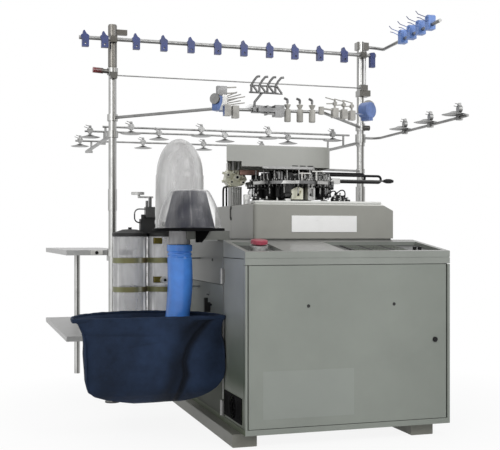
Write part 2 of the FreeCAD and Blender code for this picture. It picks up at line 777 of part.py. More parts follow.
def build_head():
    bore = cylinder_radius + cam_clearance
    plate_top = cam_plate_bottom + cam_plate_thick
    ring = turned([
        (bore, head_bottom), (cam_neck_radius, head_bottom), (cam_neck_radius, cam_ring_bottom - 14),
        (cam_ring_radius, cam_ring_bottom), (cam_ring_radius, cam_plate_bottom), (bore, cam_plate_bottom),
    ], 0, 0)
    save("cam_ring", ring)

    plate = tube(0, 0, cam_plate_bottom, plate_top, cam_plate_radius, cam_plate_bore)
    notch = block(cam_plate_radius - 16, cam_plate_radius + 5, -11, 11, cam_plate_bottom - 1, plate_top + 1)
    plate = drill(plate, around(notch, 12, 15.0))
    ears = []
    for y in (lever_y - 14, lever_y + 8):
        ears.append(block(cam_plate_radius - 22, lever_pivot_x + 10, y, y + 6, plate_top - 5, lever_z + 10))
    pin = rod(V(lever_pivot_x, lever_y - 14, lever_z), V(lever_pivot_x, lever_y + 14, lever_z), 4.0)
    save("cam_plate", join([plate] + ears + [pin]))

    cylinder = tube(0, 0, shaft_top, cylinder_top, cylinder_radius, cylinder_bore)
    slot = block(cylinder_radius - slot_depth, cylinder_radius + 1, -slot_width / 2, slot_width / 2,
                 cylinder_top - 60, cylinder_top + 1)
    save("needle_cylinder", drill(cylinder, around(slot, needle_slots)))

    dial_bottom = cylinder_top + dial_gap
    disc = upright(0, 0, dial_bottom, dial_bottom + dial_thick, cylinder_radius - 1)
    cut = block(cylinder_radius - 18, cylinder_radius + 1, -slot_width / 2, slot_width / 2,
                dial_bottom + dial_thick - slot_depth, dial_bottom + dial_thick + 1)
    disc = drill(disc, around(cut, needle_slots, 180.0 / needle_slots))
    boss_top = dial_plate_bottom + dial_plate_thick + boss_height
    axle = upright(0, 0, dial_bottom, boss_top - 6, dial_shaft_radius)
    save("dial", join([disc, axle]))

    plate = upright(0, 0, dial_plate_bottom, dial_plate_bottom + dial_plate_thick, dial_plate_radius)
    boss = upright(0, 0, dial_plate_bottom, boss_top, boss_radius)
    pillar = upright(pillar_circle, 0, plate_top, dial_plate_bottom, pillar_radius)
    head = join([plate, boss] + around(pillar, pillar_count, 30.0))
    bore = upright(0, 0, dial_plate_bottom - 1, boss_top - 4, dial_shaft_radius + running_gap)
    save("dial_head", drill(head, [bore]))

    top = dial_plate_bottom + dial_plate_thick
    upper = block(52, 112, -19, 19, top, top + 24)
    coils = around(upper, solenoid_count, 22.5)
    for angle, y0, y1, z1 in ((-147, -34, 30, 46), (-122, -30, 8, 50), (-113, -8, 26, 44), (-98, -14, 22, 30),
                              (60, -30, 30, 44), (105, -30, 30, 44), (150, -30, 30, 44)):
        coil = block(172, 214, y0, y1, plate_top, plate_top + z1)
        coil.rotate(V(0, 0, 0), V(0, 0, 1), angle)
        coils.append(coil)
    coils.append(block(136, 176, -4, 60, plate_top, plate_top + 66))
    save("solenoid_blocks", group(coils))
    banks = [leaf_bank(angle, count, low) for angle, count, low in
             ((-165, 9, 1218), (-143, 7, 1222), (-125, 9, 1216), (-42, 10, 1212), (-20, 10, 1212), (10, 9, 1216),
              (45, 8, 1218), (85, 8, 1218), (125, 8, 1218), (160, 8, 1218))]
    column = block(cam_ring_radius + 6, cam_ring_radius + 44, -24, 24, 1200, cam_plate_bottom)
    column = column.cut(block(cam_ring_radius + 30, cam_ring_radius + 50, -12, 12, 1216, 1262))
    column.rotate(V(0, 0, 0), V(0, 0, 1), -75)
    slanted = [(-32, 1204), (32, 1204), (32, 1262), (6, 1274), (-32, 1256)]
    bracket = prism([(cam_ring_radius + 6, y, z) for y, z in slanted], V(34, 0, 0))
    opening = prism([(cam_ring_radius + 26, y, z) for y, z in ((-4, 1216), (8, 1216), (24, 1250), (12, 1250))],
                    V(20, 0, 0))
    hanger = block(cam_ring_radius + 8, cam_ring_radius + 30, 2, 26, 1250, cam_plate_bottom)
    bracket = drill(join([bracket, hanger]), [opening])
    bracket.rotate(V(0, 0, 0), V(0, 0, 1), -98)
    save("selector_banks", group(banks + [column, bracket]))
    save("yarn_fingers", group([finger_bank(-58, 9, 66), finger_bank(-32, 8, 58), finger_bank(-82, 5, 50)]))

    size = clamp_post_size / 2
    post = block(clamp_post_x - size, clamp_post_x + size, clamp_post_y - size, clamp_post_y + size,
                 head_top, clamp_block_bottom)
    half = clamp_block_width / 2
    low = clamp_block_bottom
    top = low + clamp_block_height
    outline = [
        (clamp_post_x - half, 0, low + 34), (clamp_post_x - half + 18, 0, low + 8),
        (clamp_post_x - 6, 0, low), (clamp_post_x + half - 30, 0, low + 6),
        (clamp_post_x + half, 0, low + 40), (clamp_post_x + half - 16, 0, top - 16),
        (clamp_post_x + half - 16, 0, top), (clamp_post_x - half + 12, 0, top),
    ]
    body = prism([(x, clamp_post_y - size, z) for x, y, z in outline], V(0, clamp_post_size, 0))
    holes = []
    for dx, dz in ((-18.0, 76.0), (-4.0, 42.0)):
        centre = V(clamp_post_x + dx, clamp_post_y - size - 1, low + dz)
        holes.append(rod(centre, centre + V(0, 12, 0), 8.0))
    nubs = []
    for dx, dz, across, tall, out in ((-50.0, 60.0, 26.0, 20.0, 12.0), (-22.0, 14.0, 30.0, 16.0, 16.0),
                                      (10.0, 66.0, 28.0, 26.0, 14.0), (24.0, 24.0, 18.0, 30.0, 10.0),
                                      (-40.0, 78.0, 20.0, 14.0, 18.0), (20.0, 80.0, 24.0, 12.0, 8.0)):
        x = clamp_post_x + dx
        y = clamp_post_y - size
        nubs.append(block(x - across / 2, x + across / 2, y - out, y + 6, low + dz - tall / 2, low + dz + tall / 2))
    side = clamp_post_x - half + 4
    nubs.append(rod(V(side + 14, clamp_post_y - 12, low + 70), V(side - 18, clamp_post_y - 12, low + 78), 7.0))
    nubs.append(rod(V(side + 14, clamp_post_y + 8, low + 40), V(side - 14, clamp_post_y + 8, low + 30), 8.0))
    save("clamp_unit", group([post, drill(join([body] + nubs), holes)]))


def leaf_bank(angle, count, low):
    # a stack of thin selector leaves between two cheeks, hung from the cam plate
    inner = cam_ring_radius + 6
    body = [block(inner, inner + 22, -17, 17, low - 4, cam_plate_bottom)]
    for i in range(count):
        z = low + i * leaf_pitch
        reach = leaf_length - 3.0 * abs(i - count // 2)
        leaf = block(inner + 16, inner + reach, -11 + i * 0.8, -3 + i * 0.8, z, z + leaf_thick)
        tip = block(inner + reach - 7, inner + reach, -13 + i * 0.8, 3 + i * 0.8, z - 1.2, z + leaf_thick + 1.2)
        body.append(leaf)
        body.append(tip)
    body.append(block(inner + 20, inner + 26, 6, 15, low - 4, cam_plate_bottom))
    bank = join(body)
    bank.rotate(V(0, 0, 0), V(0, 0, 1), angle)
    return bank


def finger_bank(angle, count, height):
    # yarn fingers: thin upright levers side by side on a foot, each with a bent tip towards the needles
    foot_z = cam_plate_bottom + cam_plate_thick
    inner = 146.0
    width = count * 8.0
    body = [block(inner + 30, inner + 84, -width / 2, width / 2, foot_z, foot_z + 8),
            rod(V(inner + 58, -width / 2 - 4, foot_z + 26), V(inner + 58, width / 2 + 4, foot_z + 26), 5.0)]
    for side in (-width / 2 - 3, width / 2 - 1):
        body.append(block(inner + 48, inner + 68, side, side + 4, foot_z, foot_z + 36))
    for i in range(count):
        y = -width / 2 + 3 + i * 8.0
        top = foot_z + height - 3 * (i % 3)
        outline = [(inner + 50, foot_z + 6), (inner + 64, foot_z + 6), (inner + 70, top - 18), (inner + 50, top),
                   (inner + 2, top - 6), (inner + 2, top - 10), (inner + 44, top - 8), (inner + 58, top - 22)]
        body.append(prism([(x, y, z) for x, z in outline], V(0, 3, 0)))
    bank = join(body)
    bank.rotate(V(0, 0, 0), V(0, 0, 1), angle)
    return bank


def hood_outline(left, rear_left, right, half, corner, z):
    d = corner * (1 - math.sin(math.pi / 4))
    edges = [
        Part.LineSegment(V(right - corner, half, z), V(rear_left, half, z)).toShape(),
        Part.LineSegment(V(rear_left, half, z), V(left, -half, z)).toShape(),
        Part.LineSegment(V(left, -half, z), V(right - corner, -half, z)).toShape(),
        Part.Arc(V(right - corner, -half, z), V(right - d, -half + d, z), V(right, -half + corner, z)).toShape(),
        Part.LineSegment(V(right, -half + corner, z), V(right, half - corner, z)).toShape(),
        Part.Arc(V(right, half - corner, z), V(right - d, half - d, z), V(right - corner, half, z)).toShape(),
    ]
    return Part.Face(Part.Wire(edges))


def build_hood():
    outer = hood_outline(hood_left, hood_rear_left, hood_right, hood_radius, hood_corner, hood_bottom)
    outer = outer.extrude(V(0, 0, hood_top - hood_bottom))
    top = [e for e in outer.Edges if e.BoundBox.ZMin > hood_top - 1]
    outer = outer.makeFillet(5.0, top)
    inner = hood_outline(hood_left + sheet + 2, hood_rear_left + sheet, hood_right - sheet, hood_radius - sheet,
                         hood_corner - sheet, hood_bottom - 1)
    inner = inner.extrude(V(0, 0, hood_top - hood_bottom - sheet + 1))
    step = block(hood_left - 1, hood_left + hood_step, -hood_radius - 1, 0,
                 hood_bottom - 1, hood_bottom + hood_step_height)
    shell = drill(outer, [inner, step])

    stays = []
    for begin, level, deep in ((V(hood_right - 1.5, 96, hood_bottom + 16), stay_low_z, 7.0),
                               (V(hood_right - 20, 70, hood_top - 3), stay_high_z, 5.0)):
        flat = V(right_post_x - begin.x, post_y - begin.y, 0)
        finish = V(begin.x, begin.y, level) + flat * (1 - (sleeve_radius + 2.5 + seat_gap) / flat.Length)
        stays.append(rod(begin, finish, deep))
    gusset = block(hood_right - 30, hood_right - 12, 56, 84, hood_top - 3, hood_top + 12)
    save("hood", join([shell, gusset] + stays))


def build_head_pieces():
    plate_top = cam_plate_bottom + cam_plate_thick
    loops = []
    for y, reach, z0, z1 in ((18.0, 572.0, plate_top + 12, plate_top + 50),
                             (40.0, 480.0, plate_top + 18, plate_top + 62)):
        bend = (z1 - z0) / 2 - 0.5
        loops.append(bent_rod([(176 + seat_gap, y, z1), (reach, y, z1), (reach, y, z0),
                               (176 + seat_gap, y, z0)], hose_radius, bend))
    rear = clamp_post_y + clamp_post_size / 2
    for k in range(4):
        x = head_left + 10 + 13.0 * k
        y = rear + 130 - 24.0 * k
        top = clamp_block_bottom + 4 + 20.0 * k
        loops.append(bent_rod([(x, y, head_top), (x, y, top), (x - 8 + 5 * k, rear + 1, top)], 5.5, 26.0))
    save("head_hoses", group(loops))

    hub = rod(V(lever_pivot_x, lever_y - 7.5, lever_z), V(lever_pivot_x, lever_y + 7.5, lever_z), 9.0)
    shank = rod(V(lever_pivot_x, lever_y, lever_z), V(lever_rod_end, lever_y, lever_z), 5.0)
    grip_end = lever_rod_end - 4 + grip_length
    corners = [(0, 0), (grip_radius * 0.6, 0), (grip_radius, grip_length * 0.3),
               (grip_radius, grip_length * 0.7), (grip_radius * 0.6, grip_length), (0, grip_length)]
    face = Part.Face(Part.makePolygon([V(lever_rod_end - 4 + a, lever_y, lever_z + r)
                                       for r, a in corners + corners[:1]]))
    grip = face.revolve(V(0, lever_y, lever_z), V(1, 0, 0), 360)
    lever = join([hub, shank, grip])
    bore = rod(V(lever_pivot_x, lever_y - 9, lever_z), V(lever_pivot_x, lever_y + 9, lever_z),
               4.0 + running_gap)
    save("hand_lever", drill(lever, [bore]))
    return grip_end


# ---------------------------------------------------------------- collector

def build_collector():
    z0 = collector_plate_bottom
    z1 = z0 + collector_plate_thick
    outline = belt_face((bell_x, bell_y), bell_base_radius + collector_rim,
                        (dome_x, dome_y), dome_radius + collector_rim, z0)
    plate = outline.extrude(V(0, 0, collector_plate_thick))
    arm_y = dome_y - 78.0
    arm = join([
        block(dome_x + 76, body_left + 54, arm_y - 28, arm_y + 28, bed_top, z0 + 2),
        prism([(dome_x + 60, arm_y - 34, z0), (dome_x + 132, arm_y - 34, z0), (dome_x + 112, arm_y - 34, z0 - 34),
               (dome_x + 92, arm_y - 34, z0 - 58), (dome_x + 64, arm_y - 34, z0 - 58)], V(0, 24, 0)),
    ])
    keep_out = block(body_left - 400, body_left + 60, cabinet_front, cabinet_rear + seam_gap + 1,
                     bed_top - 1, bed_top + 8)
    tap = upright(dome_x, dome_y, z0 - 1, z1 + 1, outlet_radius - outlet_wall)
    notch = upright(dome_x, dome_y, bed_top - 1, z0, outlet_radius + 12)
    lip = outlet_radius + outlet_bead
    outlet = turned([
        (outlet_radius - outlet_wall, outlet_bottom), (lip, outlet_bottom), (lip, outlet_bottom + 16),
        (outlet_radius, outlet_bottom + 20), (outlet_radius, z0), (outlet_radius - outlet_wall, z0),
    ], dome_x, dome_y)
    save("collector_base", group([drill(join([plate, arm]), [tap, notch, keep_out]), outlet]))

    neck = dome_radius - 4
    rise = dome_top - dome_step
    bullet = elliptic_cap(neck, rise, dome_step)
    hollow = elliptic_cap(neck - dome_wall, rise - dome_wall, dome_step - 0.01)
    barrel = upright(0, 0, z1, dome_step, dome_radius)
    inside = upright(0, 0, z1 - 1, dome_step - dome_wall, dome_radius - dome_wall)
    throat = upright(0, 0, dome_step - dome_wall - 1, dome_step + 0.5, neck - dome_wall)
    dome = drill(join([bullet, barrel]), [hollow, inside, throat])
    dome.translate(V(dome_x, dome_y, 0))
    save("collector_dome", dome)

    save("bell", bell_shell())
    cone_top = bell_top - dome_wall - 3
    net = turned([
        (net_base_radius, z1), (net_top_radius, cone_top), (0, cone_top), (0, cone_top - net_wall),
        (net_top_radius - net_wall, cone_top - net_wall), (net_base_radius - net_wall, z1),
    ], bell_x, bell_y)
    save("bell_net", net)

    route = [(dome_x, dome_y, outlet_bottom + 18), (dome_x + 3, dome_y, 740.0),
             (dome_x - 13, dome_y, blue_hose_bottom)]
    outer = bent_rod(route, blue_hose_radius, 1500.0)
    inner = bent_rod(route, blue_hose_radius - blue_hose_wall, 1500.0)
    save("blue_hose", outer.cut(inner))


def elliptic_cap(radius, rise, z):
    ellipse = Part.Ellipse(V(0, 0, z + rise), V(radius, 0, z), V(0, 0, z))
    if radius > rise:
        ellipse = Part.Ellipse(V(radius, 0, z), V(0, 0, z + rise), V(0, 0, z))
    start = ellipse.parameter(V(radius, 0, z))
    end = ellipse.parameter(V(0, 0, z + rise))
    if start > end:
        start, end = end, start
    if end - start > math.pi:
        start, end = end, start + 2 * math.pi
    curve = Part.Edge(ellipse.toShape().Curve, start, end)
    base = Part.LineSegment(V(0, 0, z), V(radius, 0, z)).toShape()
    axis = Part.LineSegment(V(0, 0, z + rise), V(0, 0, z)).toShape()
    face = Part.Face(Part.Wire(Part.__sortEdges__([base, curve, axis])))
    solid = face.revolve(V(0, 0, 0), V(0, 0, 1), 360)
    return solid


def bell_face(base, top, low, high, bulge):
    middle = ((base + top) / 2 + bulge, 0, (low + high) / 2)
    edges = [
        Part.LineSegment(V(0, 0, low), V(base, 0, low)).toShape(),
        Part.Arc(V(base, 0, low), V(*middle), V(top, 0, high)).toShape(),
        Part.LineSegment(V(top, 0, high), V(0, 0, high)).toShape(),
        Part.LineSegment(V(0, 0, high), V(0, 0, low)).toShape(),
    ]
    return Part.Face(Part.Wire(edges))


def bell_shell():
    low = collector_plate_bottom + collector_plate_thick
    outer = bell_face(bell_base_radius, bell_top_radius, low, bell_top, 14.0)
    inner = bell_face(bell_base_radius - dome_wall, bell_top_radius - dome_wall, low, bell_top - dome_wall, 14.0)
    shell = outer.revolve(V(0, 0, 0), V(0, 0, 1), 360).cut(inner.revolve(V(0, 0, 0), V(0, 0, 1), 360))
    shell.translate(V(bell_x, bell_y, 0))
    return shell


# ---------------------------------------------------------------- bag

def bag_outline(left, right, front, side, z):
    # straight front, short straight sides and a round back, as a closed line of short straights
    radius = (right - left) / 2
    centre = (right + left) / 2
    y = front + side
    points = [V(left, front, z), V(centre, front - 0.02 * radius, z), V(right, front, z)]
    for i in range(bag_back_points + 1):
        angle = math.pi * i / bag_back_points
        points.append(V(centre + radius * math.cos(angle), y + radius * math.sin(angle), z))
    return Part.makePolygon(points + points[:1])


def build_bag():
    left = bag_right - 2 * bag_radius
    top = bag_rim_z - rim_rod_radius - seat_gap
    outer = []
    inner = []
    for i, (share, left_in, right_in, front_in) in enumerate(bag_sections):
        z = bag_bottom + share * (top - bag_bottom)
        outer.append(bag_outline(left + left_in, bag_right - right_in, bag_front + front_in, bag_side, z))
        lift = bag_wall if i == len(bag_sections) - 1 else 0
        lift = 1 if i == 0 else lift
        inner.append(bag_outline(left + left_in + bag_wall, bag_right - right_in - bag_wall,
                                 bag_front + front_in + bag_wall, bag_side, z + lift))
    shell = Part.makeLoft(outer, True, True).cut(Part.makeLoft(inner, True, True))
    save("bag", shell)

    start = V(left + bag_radius, bag_front + rim_rod_radius, bag_rim_z)
    centre = left + bag_radius
    radius = bag_radius - rim_rod_radius
    y = bag_front + rim_rod_radius + bag_side
    corner = 30.0
    x0 = centre - radius
    x1 = centre + radius
    y0 = bag_front + rim_rod_radius
    d = corner * (1 - math.sin(math.pi / 4))
    s = radius * math.sin(math.pi / 4)
    z = bag_rim_z
    edges = [
        Part.LineSegment(start, V(x1 - corner, y0, z)).toShape(),
        Part.Arc(V(x1 - corner, y0, z), V(x1 - d, y0 + d, z), V(x1, y0 + corner, z)).toShape(),
        Part.LineSegment(V(x1, y0 + corner, z), V(x1, y, z)).toShape(),
        Part.Arc(V(x1, y, z), V(centre + s, y + s, z), V(centre, y + radius, z)).toShape(),
        Part.Arc(V(centre, y + radius, z), V(centre - s, y + s, z), V(x0, y, z)).toShape(),
        Part.LineSegment(V(x0, y, z), V(x0, y0 + corner, z)).toShape(),
        Part.Arc(V(x0, y0 + corner, z), V(x0 + d, y0 + d, z), V(x0 + corner, y0, z)).toShape(),
        Part.LineSegment(V(x0 + corner, y0, z), start).toShape(),
    ]
    path = Part.Wire(edges)
    circle = Part.Wire(Part.makeCircle(rim_rod_radius, start, V(1, 0, 0)))
    hoop = path.makePipeShell([circle], True, False)
    hooks = []
    for hook_y in (y0 + corner + 8, y + 60):
        hooks.append(rod(V(x1 - 2, hook_y, z), V(body_left, hook_y, z), rim_rod_radius))
    save("bag_rim", join([hoop] + hooks))


# ---------------------------------------------------------------- tanks

def build_tanks():
    walls = []
    for x in (left_tank_x, right_tank_x):
        wall = tube(x, tank_y, tank_bottom, tank_top, tank_radius, tank_radius - tank_wall)
        floor = upright(x, tank_y, tank_bottom, tank_bottom + tank_wall, tank_radius)
        walls.append(join([wall, floor]))
    save("tanks", group(walls))

    bands = []
    inner = tank_radius + seat_gap
    for z in (upper_band_z, lower_band_z):
        low = z - band_width / 2
        rings = [upright(x, tank_y, low, low + band_width, inner + band_thick)
                 for x in (left_tank_x, right_tank_x)]
        bar_x = (left_tank_x + right_tank_x) / 2
        link = block(bar_x - 20, bar_x + 20, tank_y - 30, tank_y + 30, low, low + band_width)
        arm = block(right_tank_x + 60, body_left, tank_y - 20, tank_y + 20, low + band_width - 9, low + band_width)
        holes = [upright(x, tank_y, low - 1, low + band_width + 1, inner) for x in (left_tank_x, right_tank_x)]
        bands.append(drill(join(rings + [link, arm]), holes))

    cap = turned([
        (0, tank_top), (tank_radius + 4, tank_top), (tank_radius + 4, tank_top + 18),
        (40, tank_top + 38), (10, tank_top + 40), (10, tank_top + 50), (0, tank_top + 50),
    ], left_tank_x, tank_y)
    top = tank_top + 20
    cover = upright(right_tank_x, tank_y, tank_top, top, tank_radius + 4)
    x = right_tank_x
    gear = [
        block(x - 142, x + 30, tank_y - 52, tank_y + 12, top - 2, top + 8),
        block(x - 138, x - 60, tank_y - 44, tank_y + 4, top, top + 76),
        upright(x - 118, tank_y - 20, top + 70, top + 100, 14),
        upright(x - 40, tank_y - 20, top, top + 50, 16),
        upright(x - 20, tank_y - 20, top, top + 60, 18),
        block(x - 110, x - 58, tank_y - 40, tank_y + 2, top + 84, top + 142),
        block(x - 122, x - 52, tank_y - 30, tank_y - 10, top + 70, top + 90),
        upright(x - 82, tank_y - 20, top + 140, top + 196, 9),
        upright(x - 100, tank_y - 20, top + 140, top + 176, 7),
        block(x - 150, x - 66, tank_y - 26, tank_y - 14, top + 190, top + 200),
        upright(x - 144, tank_y - 20, top + 196, top + 214, 7),
        bent_rod([(x - 106, tank_y - 20, top + 130), (x - 168, tank_y - 20, top + 130),
                  (x - 168, tank_y - 20, top + 56), (x - 126, tank_y - 20, top + 56)], 3.6, 26.0),
    ]
    wheel = upright(x - 150, tank_y - 20, top + 208, top + 222, 36)
    save("tank_fittings", group(bands + [join([cap, cover, wheel] + gear)]))


# ---------------------------------------------------------------- yarn frame

def clamp(x, z, bar_radius):
    # a block on a post that a level bar passes through, in front of the post
    y = post_y - bar_offset
    solid = block(x - 21, x + 21, y - 19, post_y, z - 19, z + 19)
    return solid, rod(V(x - 40, y, z), V(x + 40, y, z), bar_radius + seat_gap)


def build_posts():
    lugs = []
    holes = []
    for z, radius in ((top_bar_z, top_bar_radius), (thin_rod_z, thin_rod_radius)):
        lug, hole = clamp(left_post_x, z, radius)
        lugs.append(lug)
        holes.append(hole)
    left = [
        upright(left_post_x, post_y, 0, left_post_top, post_radius),
        upright(left_post_x, post_y, 0, foot_thick, foot_radius),
        upright(left_post_x, post_y, 1160, 1290, sleeve_radius),
        upright(left_post_x, post_y, thin_rod_z + 56, left_post_top - 6, sleeve_radius),
        upright(left_post_x, post_y, feeder_z - 20, feeder_z + 20, sleeve_radius + 5),
        upright(left_post_x, post_y, rack_side_z - 12, rack_side_z + 28, sleeve_radius + 7),
        rod(V(left_post_x, post_y - 10, thin_rod_z + 24), V(left_post_x - 64, post_y - 16, thin_rod_z + 27), 13.0),
        rod(V(left_post_x - 60, post_y - 16, thin_rod_z + 27), V(left_post_x - 122, post_y - 20, thin_rod_z + 30),
            17.0),
        upright(left_post_x, post_y, thin_rod_z + 8, thin_rod_z + 48, sleeve_radius + 6),
        upright(left_post_x, post_y, upper_shelf_top - 36, upper_shelf_top + 6, sleeve_radius + 6),
        block(left_post_x + 10, left_post_x + 88, post_y - 14, post_y + 14, top_bar_z + 34, top_bar_z + 66),
    ]
    for top in (upper_shelf_top, lower_shelf_top):
        left.append(block(left_post_x - 20, left_post_x + 20, post_y, shelf_front + 60,
                          top - shelf_thick - 34, top - shelf_thick))
    save("left_post", drill(join(left + lugs), holes))

    lugs = []
    holes = []
    for z, radius in ((top_bar_z, top_bar_radius), (thin_rod_z, thin_rod_radius)):
        lug, hole = clamp(right_post_x, z, radius)
        lugs.append(lug)
        holes.append(hole)
    right = [
        upright(right_post_x, post_y, 0, right_post_top, post_radius),
        upright(right_post_x, post_y, 0, foot_thick, foot_radius),
        upright(right_post_x, post_y, head_top + 45, head_top + 156, sleeve_radius + 4),
        upright(right_post_x, post_y, stay_low_z - 14, stay_low_z + 14, sleeve_radius + 2),
        upright(right_post_x, post_y, stay_high_z - 14, stay_high_z + 14, sleeve_radius + 2),
        upright(right_post_x, post_y, feeder_z - 24, feeder_z + 24, sleeve_radius + 5),
        upright(right_post_x, post_y, side_arm_z - 30, side_arm_z + 22, sleeve_radius + 7),
        rod(V(right_post_x + 10, post_y - 24, feeder_z - 6), V(right_post_x + 52, post_y - 24, feeder_z - 6), 17.0),
        block(right_post_x - 26, right_post_x + 50, post_y - 50, post_y + 20, thin_rod_z - 52, thin_rod_z - 14),
        block(right_post_x - 18, right_post_x + 34, post_y - 44, post_y + 16, thin_rod_z - 16, thin_rod_z + 22),
        block(right_post_x - 30, right_post_x + 52, post_y - 20, post_y + 28, top_bar_z + 38, top_bar_z + 88),
        bent_rod([(right_post_x + 36, post_y, top_bar_z + 40), (right_post_x + 36, post_y, thin_rod_z + 36),
                  (right_post_x + 16, post_y, thin_rod_z + 16)], 4.0, 8.0),
    ]
    save("right_post", drill(join(right + lugs), holes))


def build_guide_bars():
    y = post_y - bar_offset
    top = rod(V(top_bar_left, y, top_bar_z), V(end_guide_x + 24, y, top_bar_z), top_bar_radius)
    thin = rod(V(left_post_x - 30, y, thin_rod_z), V(right_post_x + 30, y, thin_rod_z), thin_rod_radius)
    arm = bent_rod([(right_post_x + 52 + seat_gap, post_y, arm_z), (arm_x - 26, post_y, arm_z),
                    (arm_x, post_y - 90, arm_z - arm_drop),
                    (arm_x - arm_lean, arm_front, arm_z - arm_drop)], 10.0, 50.0)
    side_away = sleeve_radius + 7
    side = bent_rod([(right_post_x + side_away + seat_gap, post_y, side_arm_z), (side_arm_x + 20, post_y, side_arm_z),
                     (side_arm_x - 25, side_arm_front, side_arm_z)], 8.0, 60.0)
    save("guide_bars", group([top, thin, arm, side]))


def blue_guide(bar_radius, upward):
    # a clip that grips a bar along x through 0, 0, with a pointed fin above and a body below or above the bar
    profile = [(-20, -54), (20, -54), (21, 12), (6, 22), (-6, 42), (-13, 40), (-17, 20), (-27, 14), (-27, -2),
               (-20, -12)]
    depth = guide_depth
    if upward:
        profile = [(-26, -26), (24, -26), (26, 48), (12, 58), (-16, 58), (-28, 46)]
        depth = guide_depth + 10
    body = prism([(x, -depth / 2, z) for x, z in profile], V(0, depth, 0))
    if upward:
        wires = [rod(V(0, -20, 44), V(0, -78, 62), finger_radius), rod(V(0, -76, 61), V(0, -92, 78), finger_radius),
                 rod(V(0, -20, 20), V(0, -66, 40), finger_radius), rod(V(0, -64, 39), V(0, -84, 42), finger_radius)]
        body = join([body] + wires)
    bore = rod(V(-40, 0, 0), V(40, 0, 0), bar_radius + seat_gap)
    eye_z = 40 if upward else -36
    eye = rod(V(0, -30, eye_z), V(0, 30, eye_z), 6.0)
    return drill(body, [bore, eye])


def arm_line(start, end):
    heading = (end - start).normalize()
    return heading, math.degrees(math.atan2(heading.y, heading.x))


def build_yarn_guides():
    guides = []
    y = post_y - bar_offset
    places = list(outer_guides)
    for i in range(guide_count):
        places.append(first_guide_x + i * guide_pitch)
    low = prism([(-17, -15, -78), (17, -15, -78), (17, -15, 14), (8, -15, 20), (-17, -15, 16)], V(0, 30, 0))
    low = low.cut(rod(V(-40, 0, 0), V(40, 0, 0), top_bar_radius + seat_gap))
    low.translate(V(end_guide_x, y, top_bar_z))
    guides.append(low)
    for x in places:
        guide = blue_guide(top_bar_radius, False)
        guide.translate(V(x, y, top_bar_z))
        guides.append(guide)
    start = V(arm_x, post_y - 90, arm_z - arm_drop)
    end = V(arm_x - arm_lean, arm_front, arm_z - arm_drop)
    heading, turn = arm_line(start, end)
    for i in range(arm_guide_count):
        guide = blue_guide(10.0, True)
        guide.rotate(V(0, 0, 0), V(0, 0, 1), turn)
        guide.translate(end - heading * (130 + i * arm_guide_pitch))
        guides.append(guide)
    save("yarn_guides", group(guides))


def plate_guide(bar_radius, above):
    # a clip on a bar along x with two rings on top and a shallow round dish, hung below or seated above the bar
    low = bar_radius + seat_gap
    base = low + 4 if above else -dish_drop
    aside = -32.0 if above else 0.0
    dish = turned([(0, base), (dish_radius - 10, base), (dish_radius, base + 3), (dish_radius * 0.5, base + 11),
                   (14, base + dish_height), (0, base + dish_height)], 0, aside)
    rings_z = base + dish_height + 14 if above else 6.0
    pieces = [
        dish,
        upright(0, 0, min(base + 2, low), rings_z, 6.0),
        rod(V(0, 0, base + 10), V(0, aside - 6, base + 10), 6.0),
        block(-12, 12, -bar_radius - 7, bar_radius + 7, -bar_radius - 7, low + 5),
        rod(V(0, -10, rings_z), V(0, 10, rings_z), 20),
        rod(V(-8, 0, rings_z + 25), V(8, 0, rings_z + 25), 9),
        rod(V(0, 0, rings_z + 10), V(-40, -12, rings_z + 22), finger_radius),
        rod(V(0, 0, rings_z + 26), V(-30, -10, rings_z + 34), finger_radius),
    ]
    bore = rod(V(-24, 0, 0), V(24, 0, 0), bar_radius + seat_gap)
    eye = rod(V(0, -12, rings_z + 13), V(0, 12, rings_z + 13), 4)
    return drill(join(pieces), [bore, eye])


def build_rack():
    bars = []
    guides = []
    for row, y in enumerate(rack_rows):
        bars.append(rod(V(rack_lefts[row], y, rack_z), V(rack_right, y, rack_z), rack_radius))
        for i in range(4):
            guide = plate_guide(rack_radius, False)
            guide.translate(V(rack_starts[row] + i * rack_guide_pitch, y, rack_z))
            guides.append(guide)
    for x in (left_post_x, right_post_x):
        side = block(x - 9, x + 9, post_y + sleeve_radius + 7 + seat_gap, rack_rows[-1] + 20,
                     rack_side_z, rack_side_z + 16)
        props = []
        for y in rack_rows:
            # the left props of the rear rows stand beside the first dish on a short tab
            aside = 34.0 if y > rack_rows[0] and x < 0 else 0.0
            props.append(upright(x + aside, y, rack_side_z + 8, rack_z - rack_radius - seat_gap, 7.0))
            props.append(block(x - 9, x + 9 + aside, y - 8, y + 8, rack_side_z, rack_side_z + 16))
        bars.append(join([side] + props))
    save("rack_frame", group(bars))
    start = V(side_arm_x + 20, post_y, side_arm_z)
    end = V(side_arm_x - 25, side_arm_front, side_arm_z)
    heading, turn = arm_line(start, end)
    for i in range(3):
        guide = plate_guide(8.0, True)
        guide.rotate(V(0, 0, 0), V(0, 0, 1), turn)
        guide.translate(end - heading * (92 + i * 350))
        guides.append(guide)
    save("plate_guides", group(guides))


def feeder_sweep(radius):
    z = feeder_z
    left = V(feeder_left[0], feeder_left[1], z)
    right = V(feeder_right[0], feeder_right[1], z)
    post_l = V(left_post_x, post_y, z)
    post_r = V(right_post_x, post_y, z)
    start = post_l + (left - post_l).normalize() * (sleeve_radius + 5)
    finish = post_r + (right - post_r).normalize() * (sleeve_radius + 5)
    return bent_rod([tuple(start), tuple(left), tuple(right), tuple(finish)], radius, 60.0)


def front_run(x):
    # y of the feeder frame's front run at x
    share = (x - feeder_left[0]) / (feeder_right[0] - feeder_left[0])
    return feeder_left[1] + share * (feeder_right[1] - feeder_left[1])


